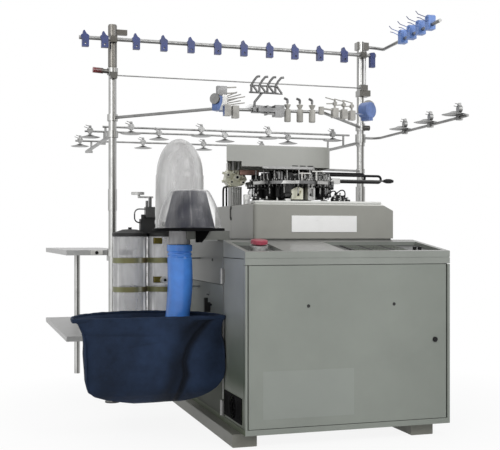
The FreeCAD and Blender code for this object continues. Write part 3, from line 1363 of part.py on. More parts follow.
def feed_disc(name, centre, heading, radius):
    # a feed wheel on its shaft, and the bore that it leaves in the motor
    shaft_end = centre - heading * 34
    wheel = rod(centre - heading * disc_thick / 2, centre + heading * disc_thick / 2, radius)
    groove = rod(centre - heading * 2.5, centre + heading * 2.5, radius + 1)
    groove = groove.cut(rod(centre - heading * 3, centre + heading * 3, radius - 4))
    shaft = rod(shaft_end, centre, 4.0)
    save(name, join([drill(wheel, [groove]), shaft]))
    return rod(shaft_end - heading, centre, 4.0 + running_gap)


def build_feeders():
    z = feeder_z
    save("feeder_frame", feeder_sweep(feeder_rod_radius))
    grown = feeder_sweep(feeder_rod_radius + seat_gap)

    # left feeder: wheel, motor, pillar, finger bank and foot
    out = V(-0.75, -0.66, 0).normalize()
    middle = V(-386, 112, z + 36)
    motor = block(-25, 25, -25, 25, z - 12, z + 70)
    motor.rotate(V(0, 0, 0), V(0, 0, 1), 41)
    motor.translate(V(middle.x, middle.y, 0))
    bore = feed_disc("left_feed_disc", middle + out * (26 + disc_thick / 2) + V(0, 0, 16), out, disc_radius)
    y = front_run(-350.0)
    pillar = block(-364, -338, y - 26, y + 20, z + 16, z + 78)
    carrier = block(-372, -312, y - 20, y + 18, z - 14, z + 16)
    foot_a = block(-356, -318, y - 40, y - 2, z - 40, z + 24)
    foot_b = block(-308, -272, y - 46, y - 8, z - 52, z + 18)
    bridge = block(-330, -290, y - 30, y - 14, z - 30, z + 4)
    fingers = []
    for i in range(6):
        low = z + 22 + i * 9.5
        tip = V(-236 - (i % 3) * 24, y - 34 - i * 2, low + 14 + i * 2)
        fingers.append(rod(V(-340, y - 8, low), tip, 3.2))
    head = block(-392, -336, y - 20, y + 12, z + 78, z + 128)
    for dz in (88, 120):
        fingers.append(rod(V(-350, y - 6, z + dz), V(-282, y - 22, z + dz + 4), 4.0))
    left_unit = drill(join([pillar, carrier, foot_a, foot_b, bridge, head] + fingers), [grown, motor])
    motor = drill(motor, [bore, grown])
    save("feeder_units", group([motor, left_unit] + right_feeders(grown)))

    # cluster of leaf levers with a stalk and hooks
    x0 = -226.0
    x1 = -22.0
    leaves = [block(-60, x1 + 18, front_run(-20) - 24, front_run(-20) + 34, z - 34, z + 30),
              block(-108, -98, front_run(-100) - 28, front_run(-100) + 26, z - 26, z + 26)]
    for i in range(7):
        low = z - 22 + i * 8.0
        tip = x0 + abs(i - 4) * 12
        outline = [(tip, low + 6), (tip + 70, low - 4), (x1, low - 6), (x1 + 6, low + 2), (tip + 80, low + 4)]
        yy = front_run(-120) - 26 + i * 7.0
        leaves.append(prism([(x, yy, h) for x, h in outline], V(0, 5, 0)))
    spine = block(-160, -30, front_run(-90) - 30, front_run(-90) + 24, z - 12, z + 12)
    stalk = bent_rod([(-172, front_run(-172), z + 6), (-172, front_run(-172), z + 46),
                      (-128, front_run(-150), z + 100)], 7.0, 14.0)
    seat = block(-186, -140, front_run(-160) - 16, front_run(-160) + 28, z - 14, z + 14)
    bars = [rod(V(-206, 104, z + 100), V(-34, 92, z + 98), 5.0),
            rod(V(-200, 106, z + 140), V(-36, 94, z + 138), 5.0),
            rod(V(-120, 98, z + 98), V(-10, 89, z + 95), 3.6)]
    for i in range(4):
        x = -190 + i * 48.0
        hook = bent_rod([(x - 4, 100, z + 98), (x - 4, 100, z + 140), (x + 12, 98, z + 168),
                         (x + 30, 96, z + 190), (x + 46, 95, z + 192)], 6.5, 8.0)
        bars.append(hook)
        bars.append(rod(V(x + 4, 100, z + 140), V(x + 34, 96, z + 100), 6.0))
    save("guide_cluster", drill(join(leaves + [spine, stalk, seat] + bars), [grown]))

    brakes = []
    for i in range(3):
        x = 21 + i * brake_pitch
        brakes.append(drill(brake(x, front_run(x), z), [grown]))
    save("yarn_brakes", group(brakes))


def brake(x, y, rod_z):
    # a yarn brake: a round body hung on the rod, a dished cup over it and a hook on a short stem
    body = upright(x, y, rod_z - 62, rod_z + 11, brake_radius)
    body = body.makeFillet(5.0, [e for e in body.Edges if e.Length > 50])
    waist = upright(x, y, rod_z + 9, rod_z + 18, 8)
    cup = turned([(0, rod_z + 15), (9, rod_z + 15), (20, rod_z + 36), (17, rod_z + 38), (8, rod_z + 23),
                  (0, rod_z + 23)], x, y)
    stem = upright(x, y, rod_z + 20, rod_z + 52, 5)
    hook = bent_rod([(x, y, rod_z + 46), (x, y, rod_z + 66), (x - 20, y - 4, rod_z + 72)], 7.0, 8.0)
    return join([body, waist, cup, stem, hook])


def right_feeders(grown):
    # three round feeders and the second motor on a short bar beside the frame's right corner
    z = feeder_z
    start = V(feeder_right[0] - 6, feeder_right[1] - 2, z + 22)
    heading = V(0.886, 0.463, 0)
    end = start + heading * 400
    bar = rod(start, end, 5.0)
    grip = upright(start.x, start.y, z - 14, z + 30, 16)
    pieces = [bar, grip]
    for along in (122.0, 204.0, 280.0):
        p = start + heading * along
        ball = block(p.x - 17, p.x + 17, p.y - 20, p.y + 20, z - 22, z + 34)
        stem = upright(p.x, p.y, z + 30, z + 84, 6)
        arm = rod(V(p.x, p.y, z + 82), V(p.x - 66, p.y - 18, z + 92), 3.2)
        low_arm = rod(V(p.x, p.y, z + 62), V(p.x - 58, p.y - 16, z + 56), 3.2)
        pad = rod(V(p.x, p.y - 12, z + 62), V(p.x, p.y + 12, z + 62), 11)
        pieces.extend([ball, stem, arm, low_arm, pad])
    bank = drill(join(pieces), [grown])
    middle = end + heading * 28
    body = rod(V(0, -36, z + 50), V(0, 36, z + 50), 50.0)
    body = body.makeFillet(8.0, [e for e in body.Edges if e.Length > 100])
    body = join([body, block(-20, 20, -30, 30, z - 12, z + 10)])
    body.rotate(V(0, 0, 0), V(0, 0, 1), 27.6)
    body.translate(V(middle.x, middle.y, 0))
    away = V(0.45, 0.89, 0).normalize()
    bore = feed_disc("right_feed_disc", middle + away * (right_disc_reach + disc_thick / 2) + V(6, 0, 62), away,
                     disc_radius + 10)
    body = drill(body, [bore, bar])
    return [bank, body]


def build_shelves():
    boards = []
    for top in (upper_shelf_top, lower_shelf_top):
        boards.append(block(shelf_left, shelf_right, shelf_front, shelf_front + shelf_depth,
                            top - shelf_thick, top))
    boards.append(upright(leg_x, leg_y, 0, lower_shelf_top - shelf_thick, leg_radius))
    boards.append(upright(leg_x, leg_y, lower_shelf_top, upper_shelf_top - shelf_thick, leg_radius))
    save("shelves", group(boards))


build_base()
build_cabinet()
build_door()
build_fan_side()
build_console()
build_covers()
build_head_covers()
build_drive()
build_head()
build_hood()
build_head_pieces()
build_collector()
build_bag()
build_tanks()
build_posts()
build_guide_bars()
build_yarn_guides()
build_rack()
build_feeders()
build_shelves()
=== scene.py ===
from math import atan2, cos, exp, hypot, pi, radians, sin, tan

import bmesh
import bpy
from mathutils import Matrix, Vector


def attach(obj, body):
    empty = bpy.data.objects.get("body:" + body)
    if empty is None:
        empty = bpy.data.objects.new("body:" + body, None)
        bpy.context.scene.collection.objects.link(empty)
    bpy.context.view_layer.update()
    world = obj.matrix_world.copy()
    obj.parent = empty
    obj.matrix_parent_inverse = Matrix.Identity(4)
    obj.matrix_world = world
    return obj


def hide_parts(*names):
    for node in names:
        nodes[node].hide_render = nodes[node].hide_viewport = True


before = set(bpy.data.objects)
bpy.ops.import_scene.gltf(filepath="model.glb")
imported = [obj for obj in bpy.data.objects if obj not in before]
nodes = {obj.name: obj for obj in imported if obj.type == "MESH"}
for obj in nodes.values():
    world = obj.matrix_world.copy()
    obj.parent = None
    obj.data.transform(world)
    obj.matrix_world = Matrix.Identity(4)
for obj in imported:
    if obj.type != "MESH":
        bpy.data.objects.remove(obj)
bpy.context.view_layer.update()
finishes = {}
print("stage: frame loaded,", len(nodes), "nodes")

# small helpers for objects and nodes


def setAll(item, settings):
    for key, value in settings.items():
        setattr(item, key, value)


def addObject(name, data):
    item = bpy.data.objects.new(name, data)
    bpy.context.scene.collection.objects.link(item)
    return item


def feed(tree, socket, value):
    # a link where the value is a socket, else the socket's own value
    if isinstance(value, bpy.types.NodeSocket):
        tree.links.new(value, socket)
    else:
        socket.default_value = value


def addNode(tree, kind, settings=None, values=()):
    # a setting goes to the input of its name, else to the node itself; values fill the inputs in turn
    node = tree.nodes.new(kind)
    for key, value in (settings or {}).items():
        if key in node.inputs:
            feed(tree, node.inputs[key], value)
        else:
            setattr(node, key, value)
    for socket, value in zip(node.inputs, values):
        feed(tree, socket, value)
    return node


def mathNode(tree, operation, *values, clamp=False):
    return addNode(tree, "ShaderNodeMath", {"operation": operation, "use_clamp": clamp}, values).outputs[0]


def mixShaders(tree, share, low, high):
    return addNode(tree, "ShaderNodeMixShader", values=(share, low, high)).outputs[0]


def seenRay(tree):
    # 1 for a ray that comes from the camera, a mirroring face or clear plastic
    rays = addNode(tree, "ShaderNodeLightPath").outputs
    seen = mathNode(tree, "MAXIMUM", rays["Is Camera Ray"], rays["Is Glossy Ray"])
    return mathNode(tree, "MAXIMUM", seen, rays["Is Transmission Ray"])


# camera and light

view = {"place": (-1.771, -4.907, 1.0), "turn": -17.4,
        "lens": {"lens": 66.6, "sensor_width": 36, "shift_y": 0.024, "clip_end": 60}}

cameraData = bpy.data.cameras.new("camera")
setAll(cameraData, view["lens"])
camera = addObject("camera", cameraData)
camera.location = view["place"]
camera.rotation_euler = (radians(90), 0, radians(view["turn"]))
bpy.context.scene.camera = camera
bpy.context.scene.view_settings.view_transform = "Standard"

studio = {"sky": 0.36, "floor": 0.93, "floorKeep": 0.11, "shadowEnds": (0.9, 2.2), "half": 30, "floorTop": -0.0005}
# each softbox: place, aim, size and power
softboxes = {"keyBox": ((1.6, -4.6, 3.6), (0, -0.3, 0.9), (2.6, 2.2), 105),
             "fillBox": ((-3.8, -4.0, 2.6), (-0.5, -0.2, 1.0), (2.2, 2.2), 44),
             "rimBox": ((0.0, 1.0, 5.2), (0, 0, 1.0), (3.0, 3.0), 42)}

world = bpy.data.worlds.new("studio")
bpy.context.scene.world = world
world.use_nodes = True
sky = world.node_tree
sky.nodes.clear()
skies = [addNode(sky, "ShaderNodeBackground", {"Color": (1, 1, 1, 1), "Strength": strength}).outputs[0]
         for strength in (studio["sky"], 1.0)]
addNode(sky, "ShaderNodeOutputWorld", {"Surface": mixShaders(sky, seenRay(sky), *skies)})

for boxName, (spot, aim, size, power) in softboxes.items():
    lampData = bpy.data.lights.new(boxName, "AREA")
    setAll(lampData, {"shape": "RECTANGLE", "size": size[0], "size_y": size[1], "energy": power})
    lamp = addObject(boxName, lampData)
    lamp.location = spot
    lamp.rotation_euler = (Vector(aim) - Vector(spot)).to_track_quat("-Z", "Y").to_euler()

# finishes


def linear(colour):
    parts = [c / 255 for c in colour]
    return (*[c / 12.92 if c <= 0.04045 else ((c + 0.055) / 1.055) ** 2.4 for c in parts], 1)


def shade(colour, share):
    return tuple(max(0, min(255, c * share)) for c in colour)


class Finish:
    # one procedural material, with the node set-ups that the finishes share
    def __init__(self, name):
        self.material = bpy.data.materials.new(name)
        self.material.use_nodes = True
        self.tree = self.material.node_tree
        self.shader = self.tree.nodes["Principled BSDF"]
        self.coords = addNode(self.tree, "ShaderNodeTexCoord").outputs
        finishes[name] = self.material

    def settle(self, settings):
        for key, value in settings.items():
            feed(self.tree, self.shader.inputs[key], value)

    def out(self, kind, output, settings):
        return addNode(self.tree, "ShaderNode" + kind, settings).outputs[output]

    def math(self, operation, *values, clamp=False):
        return mathNode(self.tree, operation, *values, clamp=clamp)

    def noise(self, scale, detail, roughness=0.5, place=None):
        place = self.coords["Object"] if place is None else place
        return self.out("TexNoise", "Fac", {"Scale": scale, "Detail": detail, "Roughness": roughness, "Vector": place})

    def stretch(self, scale):
        return self.out("Mapping", "Vector", {"Scale": scale, "Vector": self.coords["Object"]})

    def ramp(self, source, stops):
        # the first two stops are the ends
        node = addNode(self.tree, "ShaderNodeValToRGB", {"Fac": source})
        for element, (place, colour) in zip(node.color_ramp.elements, stops):
            element.position = place
            element.color = linear(colour)
        for place, colour in stops[2:]:
            node.color_ramp.elements.new(place).color = linear(colour)
        return node.outputs["Color"]

    def clouds(self, source, colour, low, high, ends=(0.3, 0.7)):
        return self.ramp(source, [(ends[0], shade(colour, low)), (ends[1], shade(colour, high))])

    def fit(self, source, low, high, start=0, end=1):
        return self.out("MapRange", "Result", {"From Min": start, "From Max": end, "To Min": low, "To Max": high,
                                               "Value": source})

    def mix(self, share, first, second, blend="MIX"):
        return self.out("Mix", "Result", {"data_type": "RGBA", "blend_type": blend, "Factor": share, "A": first,
                                          "B": second})

    def bump(self, height, strength, distance):
        settings = {"Strength": strength, "Distance": distance, "Height": height}
        self.settle({"Normal": self.out("Bump", "Normal", settings)})

    def axis(self, source, letter):
        return self.out("SeparateXYZ", letter, {"Vector": self.coords[source]})

    def sideways(self):
        # 0 to 1 as a face turns from the left to the right of the machine; it places painted reflections and glints
        return self.fit(self.axis("Normal", "X"), 0, 1, -1, 1)

    def fade(self, letter, stops):
        # painted light and shade: a soft change of tone along X, Y or Z of the whole machine
        low = stops[0][0]
        high = stops[-1][0]
        share = self.fit(self.axis("Object", letter), 0, 1, low, high)
        ends = (stops[0], stops[-1], *stops[1:-1])
        return self.ramp(share, [((place - low) / (high - low), colour) for place, colour in ends])


def enamel(name, colour, rough, tone, fade=None, grime=0, more=None):
    # sprayed enamel: faint clouds of tone, orange peel and small rub marks; where given, painted shade as a soft
    # change of tone along one axis
    skin = Finish(name)
    clouds = skin.noise(3.2, 5, 0.6)
    base = skin.clouds(clouds, colour, 1 - tone, 1 + tone)
    marks = skin.fit(skin.noise(46, 8, 0.75), 0, 0.35 + grime, 0.62, 0.8)
    base = skin.mix(marks, base, linear(shade(colour, 0.72 if grime else 1.12)))
    # painted shade multiplies the paint's colour
    if fade:
        base = skin.mix(1, base, skin.fade(*fade), "MULTIPLY")
    skin.settle({"Base Color": base, "Roughness": skin.fit(clouds, rough - 0.07, rough + 0.09),
                 "Coat Weight": 0.12, "Coat Roughness": 0.25, **(more or {})})
    skin.bump(skin.noise(420, 2), 0.06, 0.001)


def bareMetal(name, colour, rough, streak, dirt=0.25):
    # drawn or turned metal: long streaks, stains and a little roughness change
    skin = Finish(name)
    streaks = skin.noise(9, 6, place=skin.stretch(streak))
    stains = skin.noise(14, 7, 0.7)
    base = skin.clouds(streaks, colour, 0.82, 1.08, (0.25, 0.75))
    base = skin.mix(skin.fit(stains, 0, dirt, 0.45, 0.75), base, linear(shade(colour, 0.42)))
    skin.settle({"Base Color": base, "Metallic": 1, "Roughness": skin.fit(stains, rough, rough + 0.2, 0.3, 0.8)})
    skin.bump(streaks, 0.05, 0.001)


def paintedReflectionTube(name, stops, rough=0.26, dirt=0.12, metallic=1):
    # polished round tube: painted reflections as bright and dark bands by the side each face turns to, with a few
    # stains
    skin = Finish(name)
    stains = skin.noise(9, 6, 0.65)
    # painted reflections, by the way each face turns
    paintedBands = skin.ramp(skin.sideways(), stops)
    base = skin.mix(skin.fit(stains, 0, dirt * 3, 0.5, 0.8), paintedBands, linear((92, 90, 86)))
    skin.settle({"Base Color": base, "Roughness": skin.fit(stains, rough, rough + 0.14, 0.3, 0.8),
                 "Metallic": metallic})


def moulded(name, colour, rough, grain=700, tone=0.08, coat=0, gloss=0.22):
    # moulded plastic or rubber with a fine grain; dark ones shine less
    skin = Finish(name)
    clouds = skin.noise(22, 4)
    skin.settle({"Base Color": skin.clouds(clouds, colour, 1 - tone, 1 + tone),
                 "Roughness": skin.fit(clouds, rough - 0.08, rough + 0.1), "Coat Weight": coat})
    skin.bump(skin.noise(grain, 2), 0.12, 0.0006)
    if max(colour) < 60:
        skin.settle({"Specular IOR Level": gloss})


def clearSheet(name, tint, alpha, rough=0.12, streaks=1, coat=0.35, start=0.1, paintedGlints=()):
    # clear plastic, whiter at its edges, with upright rubs and, where given, painted glints: bright lines that stand
    # for reflections of lamps and glow a little
    skin = Finish(name)
    rubs = skin.noise(1, 2.5, 0.5, skin.stretch((11, 11, 2.6)))
    rim = skin.out("LayerWeight", "Facing", {"Blend": 0.35})
    cloud = skin.fit(rubs, -0.12 * streaks, 0.3 * streaks, 0.4, 0.72)
    cover = skin.math("ADD", skin.fit(rim, *alpha, start, 0.95), cloud, clamp=True)
    colour = skin.clouds(rubs, tint, 0.82, 1.2, (0.35, 0.7))
    if paintedGlints:
        dark = (0, 0, 0)
        stops = [(0, dark), (1, dark)]
        for centre, width, strength in paintedGlints:
            stops += [(centre - width, dark), (centre, (strength,) * 3), (centre + width, dark)]
        broken = skin.fit(rubs, 0.15, 1, 0.4, 0.6)
        glintLines = skin.math("MULTIPLY", skin.ramp(skin.sideways(), stops), broken)
        # painted glints: white lines that also glow through emission
        colour = skin.mix(glintLines, colour, (1, 1, 1, 1))
        cover = skin.math("ADD", cover, glintLines, clamp=True)
        skin.settle({"Emission Color": glintLines, "Emission Strength": 0.5})
    skin.settle({"Base Color": colour, "Alpha": cover, "Roughness": rough, "Specular IOR Level": 0.5,
                 "Coat Weight": coat, "Coat Roughness": 0.06})


def wovenCloth(name, colour):
    # plain weave on the piece's own UV map, with faded folds, painted shade in the folds and a little fuzz
    skin = Finish(name)
    wave = {"Scale": 420, "Distortion": 0.6, "Detail": 2, "Vector": skin.coords["UV"]}
    weave = skin.math("MAXIMUM", *[skin.out("TexWave", "Fac", {**wave, "bands_direction": way}) for way in "XY"])
    base = skin.clouds(skin.noise(5, 6, 0.65), colour, 0.78, 1.3, (0.3, 0.72))
    foldShade = skin.out("Attribute", "Fac", {"attribute_name": "foldShade"})
    # painted shade: darker where the bag's fold attribute marks a fold
    base = skin.mix(skin.fit(foldShade, 0, 0.9), base, linear(shade(colour, 0.42)))
    skin.settle({"Base Color": skin.mix(0.35, base, weave, "MULTIPLY"), "Roughness": 0.86,
                 "Specular IOR Level": 0.2, "Sheen Weight": 0.06, "Sheen Roughness": 0.45})
    skin.bump(weave, 0.25, 0.0008)


def netCloth(name, colour):
    # dark net: small lighter holes in a regular grid, on the piece's UV map
    skin = Finish(name)
    holes = skin.out("TexVoronoi", "Distance", {"Scale": 70, "Randomness": 0, "Vector": skin.coords["UV"]})
    base = skin.clouds(holes, colour, 1.7, 1, (0.2, 0.32))
    worn = skin.fit(skin.noise(16, 5), 0, 0.6, 0.45, 0.75)
    skin.settle({"Base Color": skin.mix(worn, base, linear(shade(colour, 1.5))), "Roughness": 0.6})
    skin.bump(holes, 0.4, 0.001)


white = (255, 255, 255)
coverGrey = (150, 153, 152)
dull = {"Specular IOR Level": 0.25, "Coat Weight": 0}
# cabinet paint with painted shade: its ramp along X darkens it towards the right of the machine
enamel("cabinetEnamel", (137, 142, 135), 0.42, 0.03,
       ("X", [(-0.49, white), (0.2, (252, 252, 252)), (0.6, (236, 237, 236))]))
# painted reflection and shade for left-facing faces: a lighter grey than the cabinet that darkens and turns olive
# towards the floor
enamel("sideLightAndShadeEnamel", coverGrey, 0.34, 0.06,
       ("Z", [(0.1, (118, 130, 100)), (0.3, (156, 166, 146)), (0.5, (200, 206, 198)), (0.64, (248, 250, 250)),
              (0.86, white)]), more=dull)
# painted shade: the left side cover darkens and turns olive towards the floor
enamel("coverShadeEnamel", coverGrey, 0.6, 0.07,
       ("Z", [(0.08, (84, 92, 70)), (0.26, (112, 122, 98)), (0.5, (190, 196, 186)), (0.86, white)]), more=dull)
# painted shade: a dark olive for the base plate's left-facing faces, with rub marks
enamel("oliveShadeEnamel", (98, 105, 88), 0.6, 0.08, grime=0.2, more=dull)
enamel("deskEnamel", (139, 143, 137), 0.36, 0.04)
# painted highlight: a lighter, less green copy of the desk paint for its top faces
enamel("deskTopHighlightEnamel", (141, 141, 138), 0.34, 0.05)
# painted shade: near-black floors that stand for the shade in the console's tray recesses
enamel("trayShadeEnamel", (52, 53, 52), 0.4, 0.1)
enamel("headEnamel", (150, 150, 143), 0.4, 0.04)
# painted light: near-white enamel for the highlight along the head cover's front top edge and its table plate, and for
# the hood's shaded inner wall
enamel("paintedLightEnamel", (224, 225, 220), 0.4, 0.03)
# hood paint with painted shade: its ramp along X darkens the rounded right end
enamel("hoodEnamel", (168, 169, 164), 0.45, 0.03, ("X", [(-0.3, white), (0, white), (0.13, (226, 226, 224))]))
enamel("bedEnamel", (108, 110, 105), 0.45, 0.06, grime=0.15)
enamel("skidEnamel", (122, 122, 114), 0.55, 0.09, grime=0.3)
enamel("creamEnamel", (255, 251, 224), 0.4, 0.06)
enamel("boardLaminate", (186, 186, 185), 0.4, 0.05)
enamel("labelPlace", (142, 147, 141), 0.38, 0.02)
bareMetal("turnedSteel", (186, 186, 184), 0.22, (4, 4, 60))
bareMetal("tubeChrome", (150, 150, 149), 0.3, (60, 60, 12), 0.45)
bareMetal("silverCast", (196, 196, 194), 0.36, (12, 12, 12), 0.1)
bareMetal("hookSteel", (112, 112, 112), 0.3, (40, 40, 40), 0.5)
bareMetal("darkSteel", (84, 84, 84), 0.34, (10, 10, 10), 0.5)
bareMetal("brassStrap", (128, 116, 58), 0.34, (8, 8, 40), 0.5)
bareMetal("copperBar", (186, 148, 136), 0.34, (3, 30, 30), 0.2)
# painted reflections: light and dark bands on the posts, the shelf leg and the sleeve at the top of the left post
paintedReflectionTube("postChromeReflections", [
    (0, (150, 150, 148)), (1, (150, 150, 149)), (0.22, (212, 212, 210)), (0.4, (178, 178, 176)),
    (0.5, (76, 75, 72)), (0.62, (124, 123, 120)), (0.8, (188, 188, 186))])
paintedReflectionTube("sleeveChromeReflections", [
    (0, (110, 108, 104)), (1, (120, 118, 114)), (0.22, (150, 147, 142)), (0.4, (132, 129, 122)),
    (0.5, (70, 68, 64)), (0.62, (96, 94, 90)), (0.8, (140, 138, 134))])
# painted reflections on the tank straps, with a narrow painted highlight
paintedReflectionTube("strapBandReflections", [
    (0, (112, 112, 74)), (1, (120, 116, 78)), (0.1, (140, 142, 104)), (0.26, (112, 110, 66)),
    (0.5, (124, 120, 76)), (0.64, (150, 148, 112)), (0.72, (238, 234, 208)), (0.79, (160, 150, 108)),
    (0.88, (112, 92, 66))], 0.3, 0.08, 0.2)
moulded("blackMoulding", (24, 24, 25), 0.5)
moulded("blackMatt", (17, 17, 18), 0.85, gloss=0.06)
moulded("blackRubber", (19, 19, 20), 0.6, 420)
moulded("charcoalMoulding", (50, 50, 50), 0.5)
moulded("redCap", (160, 46, 70), 0.3, 300, 0.05, 0.3)
moulded("lensRed", (128, 22, 30), 0.2, 200, 0.05, 0.6)
moulded("guideBlue", (52, 66, 122), 0.42, 300, 0.12)
moulded("guideBlueLight", (110, 146, 214), 0.4, 300, 0.08)
moulded("feederGrey", (172, 170, 164), 0.4, 380, 0.12)
moulded("feederBlue", (104, 128, 182), 0.4, 380, 0.1)
moulded("whiteCeramic", (228, 227, 222), 0.18, 200, 0.03, 0.5)
moulded("blankPlate", (252, 252, 251), 0.3, 240, 0.01, 0.2)
moulded("keyRubber", (98, 103, 94), 0.5, 600, 0.1)
moulded("hoseBlue", (80, 150, 252), 0.3, 160, 0.05, 0.4)
clearSheet("domePlastic", (240, 239, 237), (0.34, 0.9), 0.2, 0.7)
# painted glints on the bell and the tanks: bright upright lines that glow a little
clearSheet("bellPlastic", (232, 232, 231), (0.03, 0.85), 0.1, 0.3, 0.5, 0.32, [(0.41, 0.012, 120)])
clearSheet("tankPlastic", (230, 230, 233), (0.42, 0.88), 0.14, 0.45, 0.35, 0.1, [(0.1, 0.03, 150), (0.87, 0.05, 215)])
clearSheet("outletPlastic", (214, 212, 216), (0.6, 0.95))
wovenCloth("navyCloth", (35, 48, 70))
netCloth("netCloth", (31, 32, 41))
print("stage: finishes made,", len(finishes))

dress = {
    "cabinetEnamel": "cabinet_sides front_door body_covers base_plate cabinet_back_panel",
    "sideLightAndShadeEnamel": "fan_panel",
    "coverShadeEnamel": "left_side_cover",
    "deskEnamel": "console_body",
    "headEnamel": "head_covers",
    "hoodEnamel": "hood",
    "bedEnamel": "bed_casting",
    "skidEnamel": "left_skid right_skid cross_rails drive_motor",
    "creamEnamel": "clamp_unit",
    "boardLaminate": "shelves",
    "blackMoulding": "door_lock side_latch knob_left knob_right selector_banks",
    "blackMatt": "fan_housing fan_rotor collector_base",
    "blackRubber": "drive_belt head_hoses",
    "charcoalMoulding": "keypad tank_fittings solenoid_blocks",
    "redCap": "stop_button",
    "turnedSteel": "motor_pulley cylinder_shaft cam_plate needle_cylinder dial "
                   "dial_head hand_lever bag_rim yarn_fingers",
    "darkSteel": "cam_ring",
    "tubeChrome": "guide_bars feeder_frame rack_frame plate_guides left_feed_disc right_feed_disc",
    "postChromeReflections": "left_post right_post",
    "hookSteel": "guide_cluster",
    "feederGrey": "feeder_units yarn_brakes",
    "guideBlue": "yarn_guides",
    "domePlastic": "collector_dome",
    "bellPlastic": "bell",
    "tankPlastic": "tanks",
    "netCloth": "bell_net",
    "navyCloth": "bag",
    "hoseBlue": "blue_hose",
}
for look, names in dress.items():
    for name in names.split():
        mesh = nodes[name].data
        mesh.materials.clear()
        mesh.materials.append(finishes[look])

desk = {"front": -0.755, "height": 0.931, "slope": atan2(0.052, 0.38)}


def slopeTop(y):
    # height of the sloping desk
    return desk["height"] + (y - desk["front"]) * tan(desk["slope"])


def near(c, x, y, reach):
    return hypot(c.x - x, c.y - y) < reach


# further finishes of a node: each goes to the faces whose centre c (in metres) and normal n pass its test
secondFinishes = {
    "yarn_guides": [("guideBlueLight", lambda c, n: c.x > 0.79 and c.y < 0.6)],
    "tank_fittings": [
        # painted reflections on the tank straps; the lower right fittings take the side's painted reflection and shade
        ("strapBandReflections", lambda c, n: c.z < 0.96), ("silverCast", lambda c, n: c.z > 1.205),
        ("hookSteel", lambda c, n: 1.125 < c.z <= 1.205), ("sideLightAndShadeEnamel", lambda c, n: c.z < 0.96 and c.x > -0.6)],
    "collector_base": [
        ("bedEnamel", lambda c, n: c.x > -0.605 and -0.306 < c.y < -0.25 and 0.984 < c.z < 1.033),
        ("outletPlastic", lambda c, n: c.z < 1.03 and near(c, -0.6805, -0.2, 0.058))],
    # painted highlight along the front top edge of the head cover
    "head_covers": [("paintedLightEnamel", lambda c, n: n.z > 0.35 and c.y < -0.3)],
    "cam_plate": [
        ("darkSteel", lambda c, n: near(c, 0, 0, 0.14)),
        ("hookSteel", lambda c, n: abs(n.z) < 0.5 and sin(8 * atan2(c.y, c.x) + 1) > -0.1)],
    "hood": [
        ("tubeChrome", lambda c, n: c.x > 0.178),
        # painted light on the hood's shaded inner back wall
        ("paintedLightEnamel", lambda c, n: c.x < 0.17 and 0.2 < c.y < 0.2125 and n.y < -0.5)],
    "clamp_unit": [("hoodEnamel", lambda c, n: c.z < 1.2805)],
    # painted reflections on the shelf leg
    "shelves": [("postChromeReflections", lambda c, n: near(c, -0.95, 1.96, 0.03))],
    "hand_lever": [("blackMoulding", lambda c, n: c.x > 0.551), ("darkSteel", lambda c, n: 0.29 < c.x < 0.551)],
    "console_body": [
        # painted light and shade: left faces get the side's painted reflection and shade, top faces a painted
        # highlight, tray floors painted shade
        ("sideLightAndShadeEnamel", lambda c, n: n.x < -0.8 and c.x < -0.49), ("deskTopHighlightEnamel", lambda c, n: n.z > 0.8),
        ("trayShadeEnamel", lambda c, n: n.z > 0.8 and c.y < -0.4 and 0.905 < c.z < slopeTop(c.y) - 0.009),
        ("silverCast", lambda c, n: near(c, -0.379, -0.6165, 0.0465) and c.z > slopeTop(c.y) - 0.016)],
    # painted shade on the base plate's left-facing faces
    "base_plate": [("oliveShadeEnamel", lambda c, n: n.x < -0.5)],
    # painted reflection and shade on the cabinet's left-facing faces
    "cabinet_sides": [("sideLightAndShadeEnamel", lambda c, n: n.x < -0.8 and c.x < -0.49)],
    # painted highlight: the fan panel's rear edge in chrome, standing for a bright edge
    "fan_panel": [("tubeChrome", lambda c, n: c.x < -0.4945)],
    "left_post": [
        ("sleeveChromeReflections", lambda c, n: c.z > 2.02), ("lensRed", lambda c, n: c.x < -0.975 and c.z > 1.9),
        ("darkSteel", lambda c, n: c.z < 0.03)],
    "feeder_units": [
        ("feederBlue", lambda c, n: c.x < -0.345 or c.x > 0.545),
        ("whiteCeramic", lambda c, n: -0.366 < c.x < -0.336 and 1.735 < c.z < 1.8),
        ("hookSteel", lambda c, n: c.x < -0.33 and c.z >= 1.7995)],
    "yarn_brakes": [("hookSteel", lambda c, n: c.z > 1.762)],
    "solenoid_blocks": [
        ("silverCast", lambda c, n: near(c, 0.155, 0.028, 0.05)),
        ("hookSteel", lambda c, n: n.z > 0.7 or c.z > 1.3345 and c.y < -0.15)],
    "selector_banks": [
        ("creamEnamel", lambda c, n: -0.062 < c.x < 0.01 and c.y < -0.16 and c.z < 1.268),
        ("silverCast", lambda c, n: 0.02 < c.x < 0.08 and c.y < -0.155)],
}
for name, further in secondFinishes.items():
    mesh = nodes[name].data
    for look, test in further:
        mesh.materials.append(finishes[look])
        for polygon in mesh.polygons:
            if test(polygon.center, polygon.normal):
                polygon.material_index = len(mesh.materials) - 1
print("stage: frame dressed")

# helpers for the added pieces


def place(name, mesh, look, body="root", slotName=None, smooth=True):
    mesh.materials.clear()
    mesh.materials.append(finishes[look])
    piece = addObject(name, mesh)
    for polygon in mesh.polygons:
        polygon.use_smooth = smooth
    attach(piece, body)
    return piece


def meshFrom(name, build, weld=0.00002):
    work = bmesh.new()
    build(work)
    if weld:
        bmesh.ops.remove_doubles(work, verts=work.verts, dist=weld)
    bmesh.ops.recalc_face_normals(work, faces=work.faces)
    mesh = bpy.data.meshes.new(name)
    work.to_mesh(mesh)
    work.free()
    return mesh


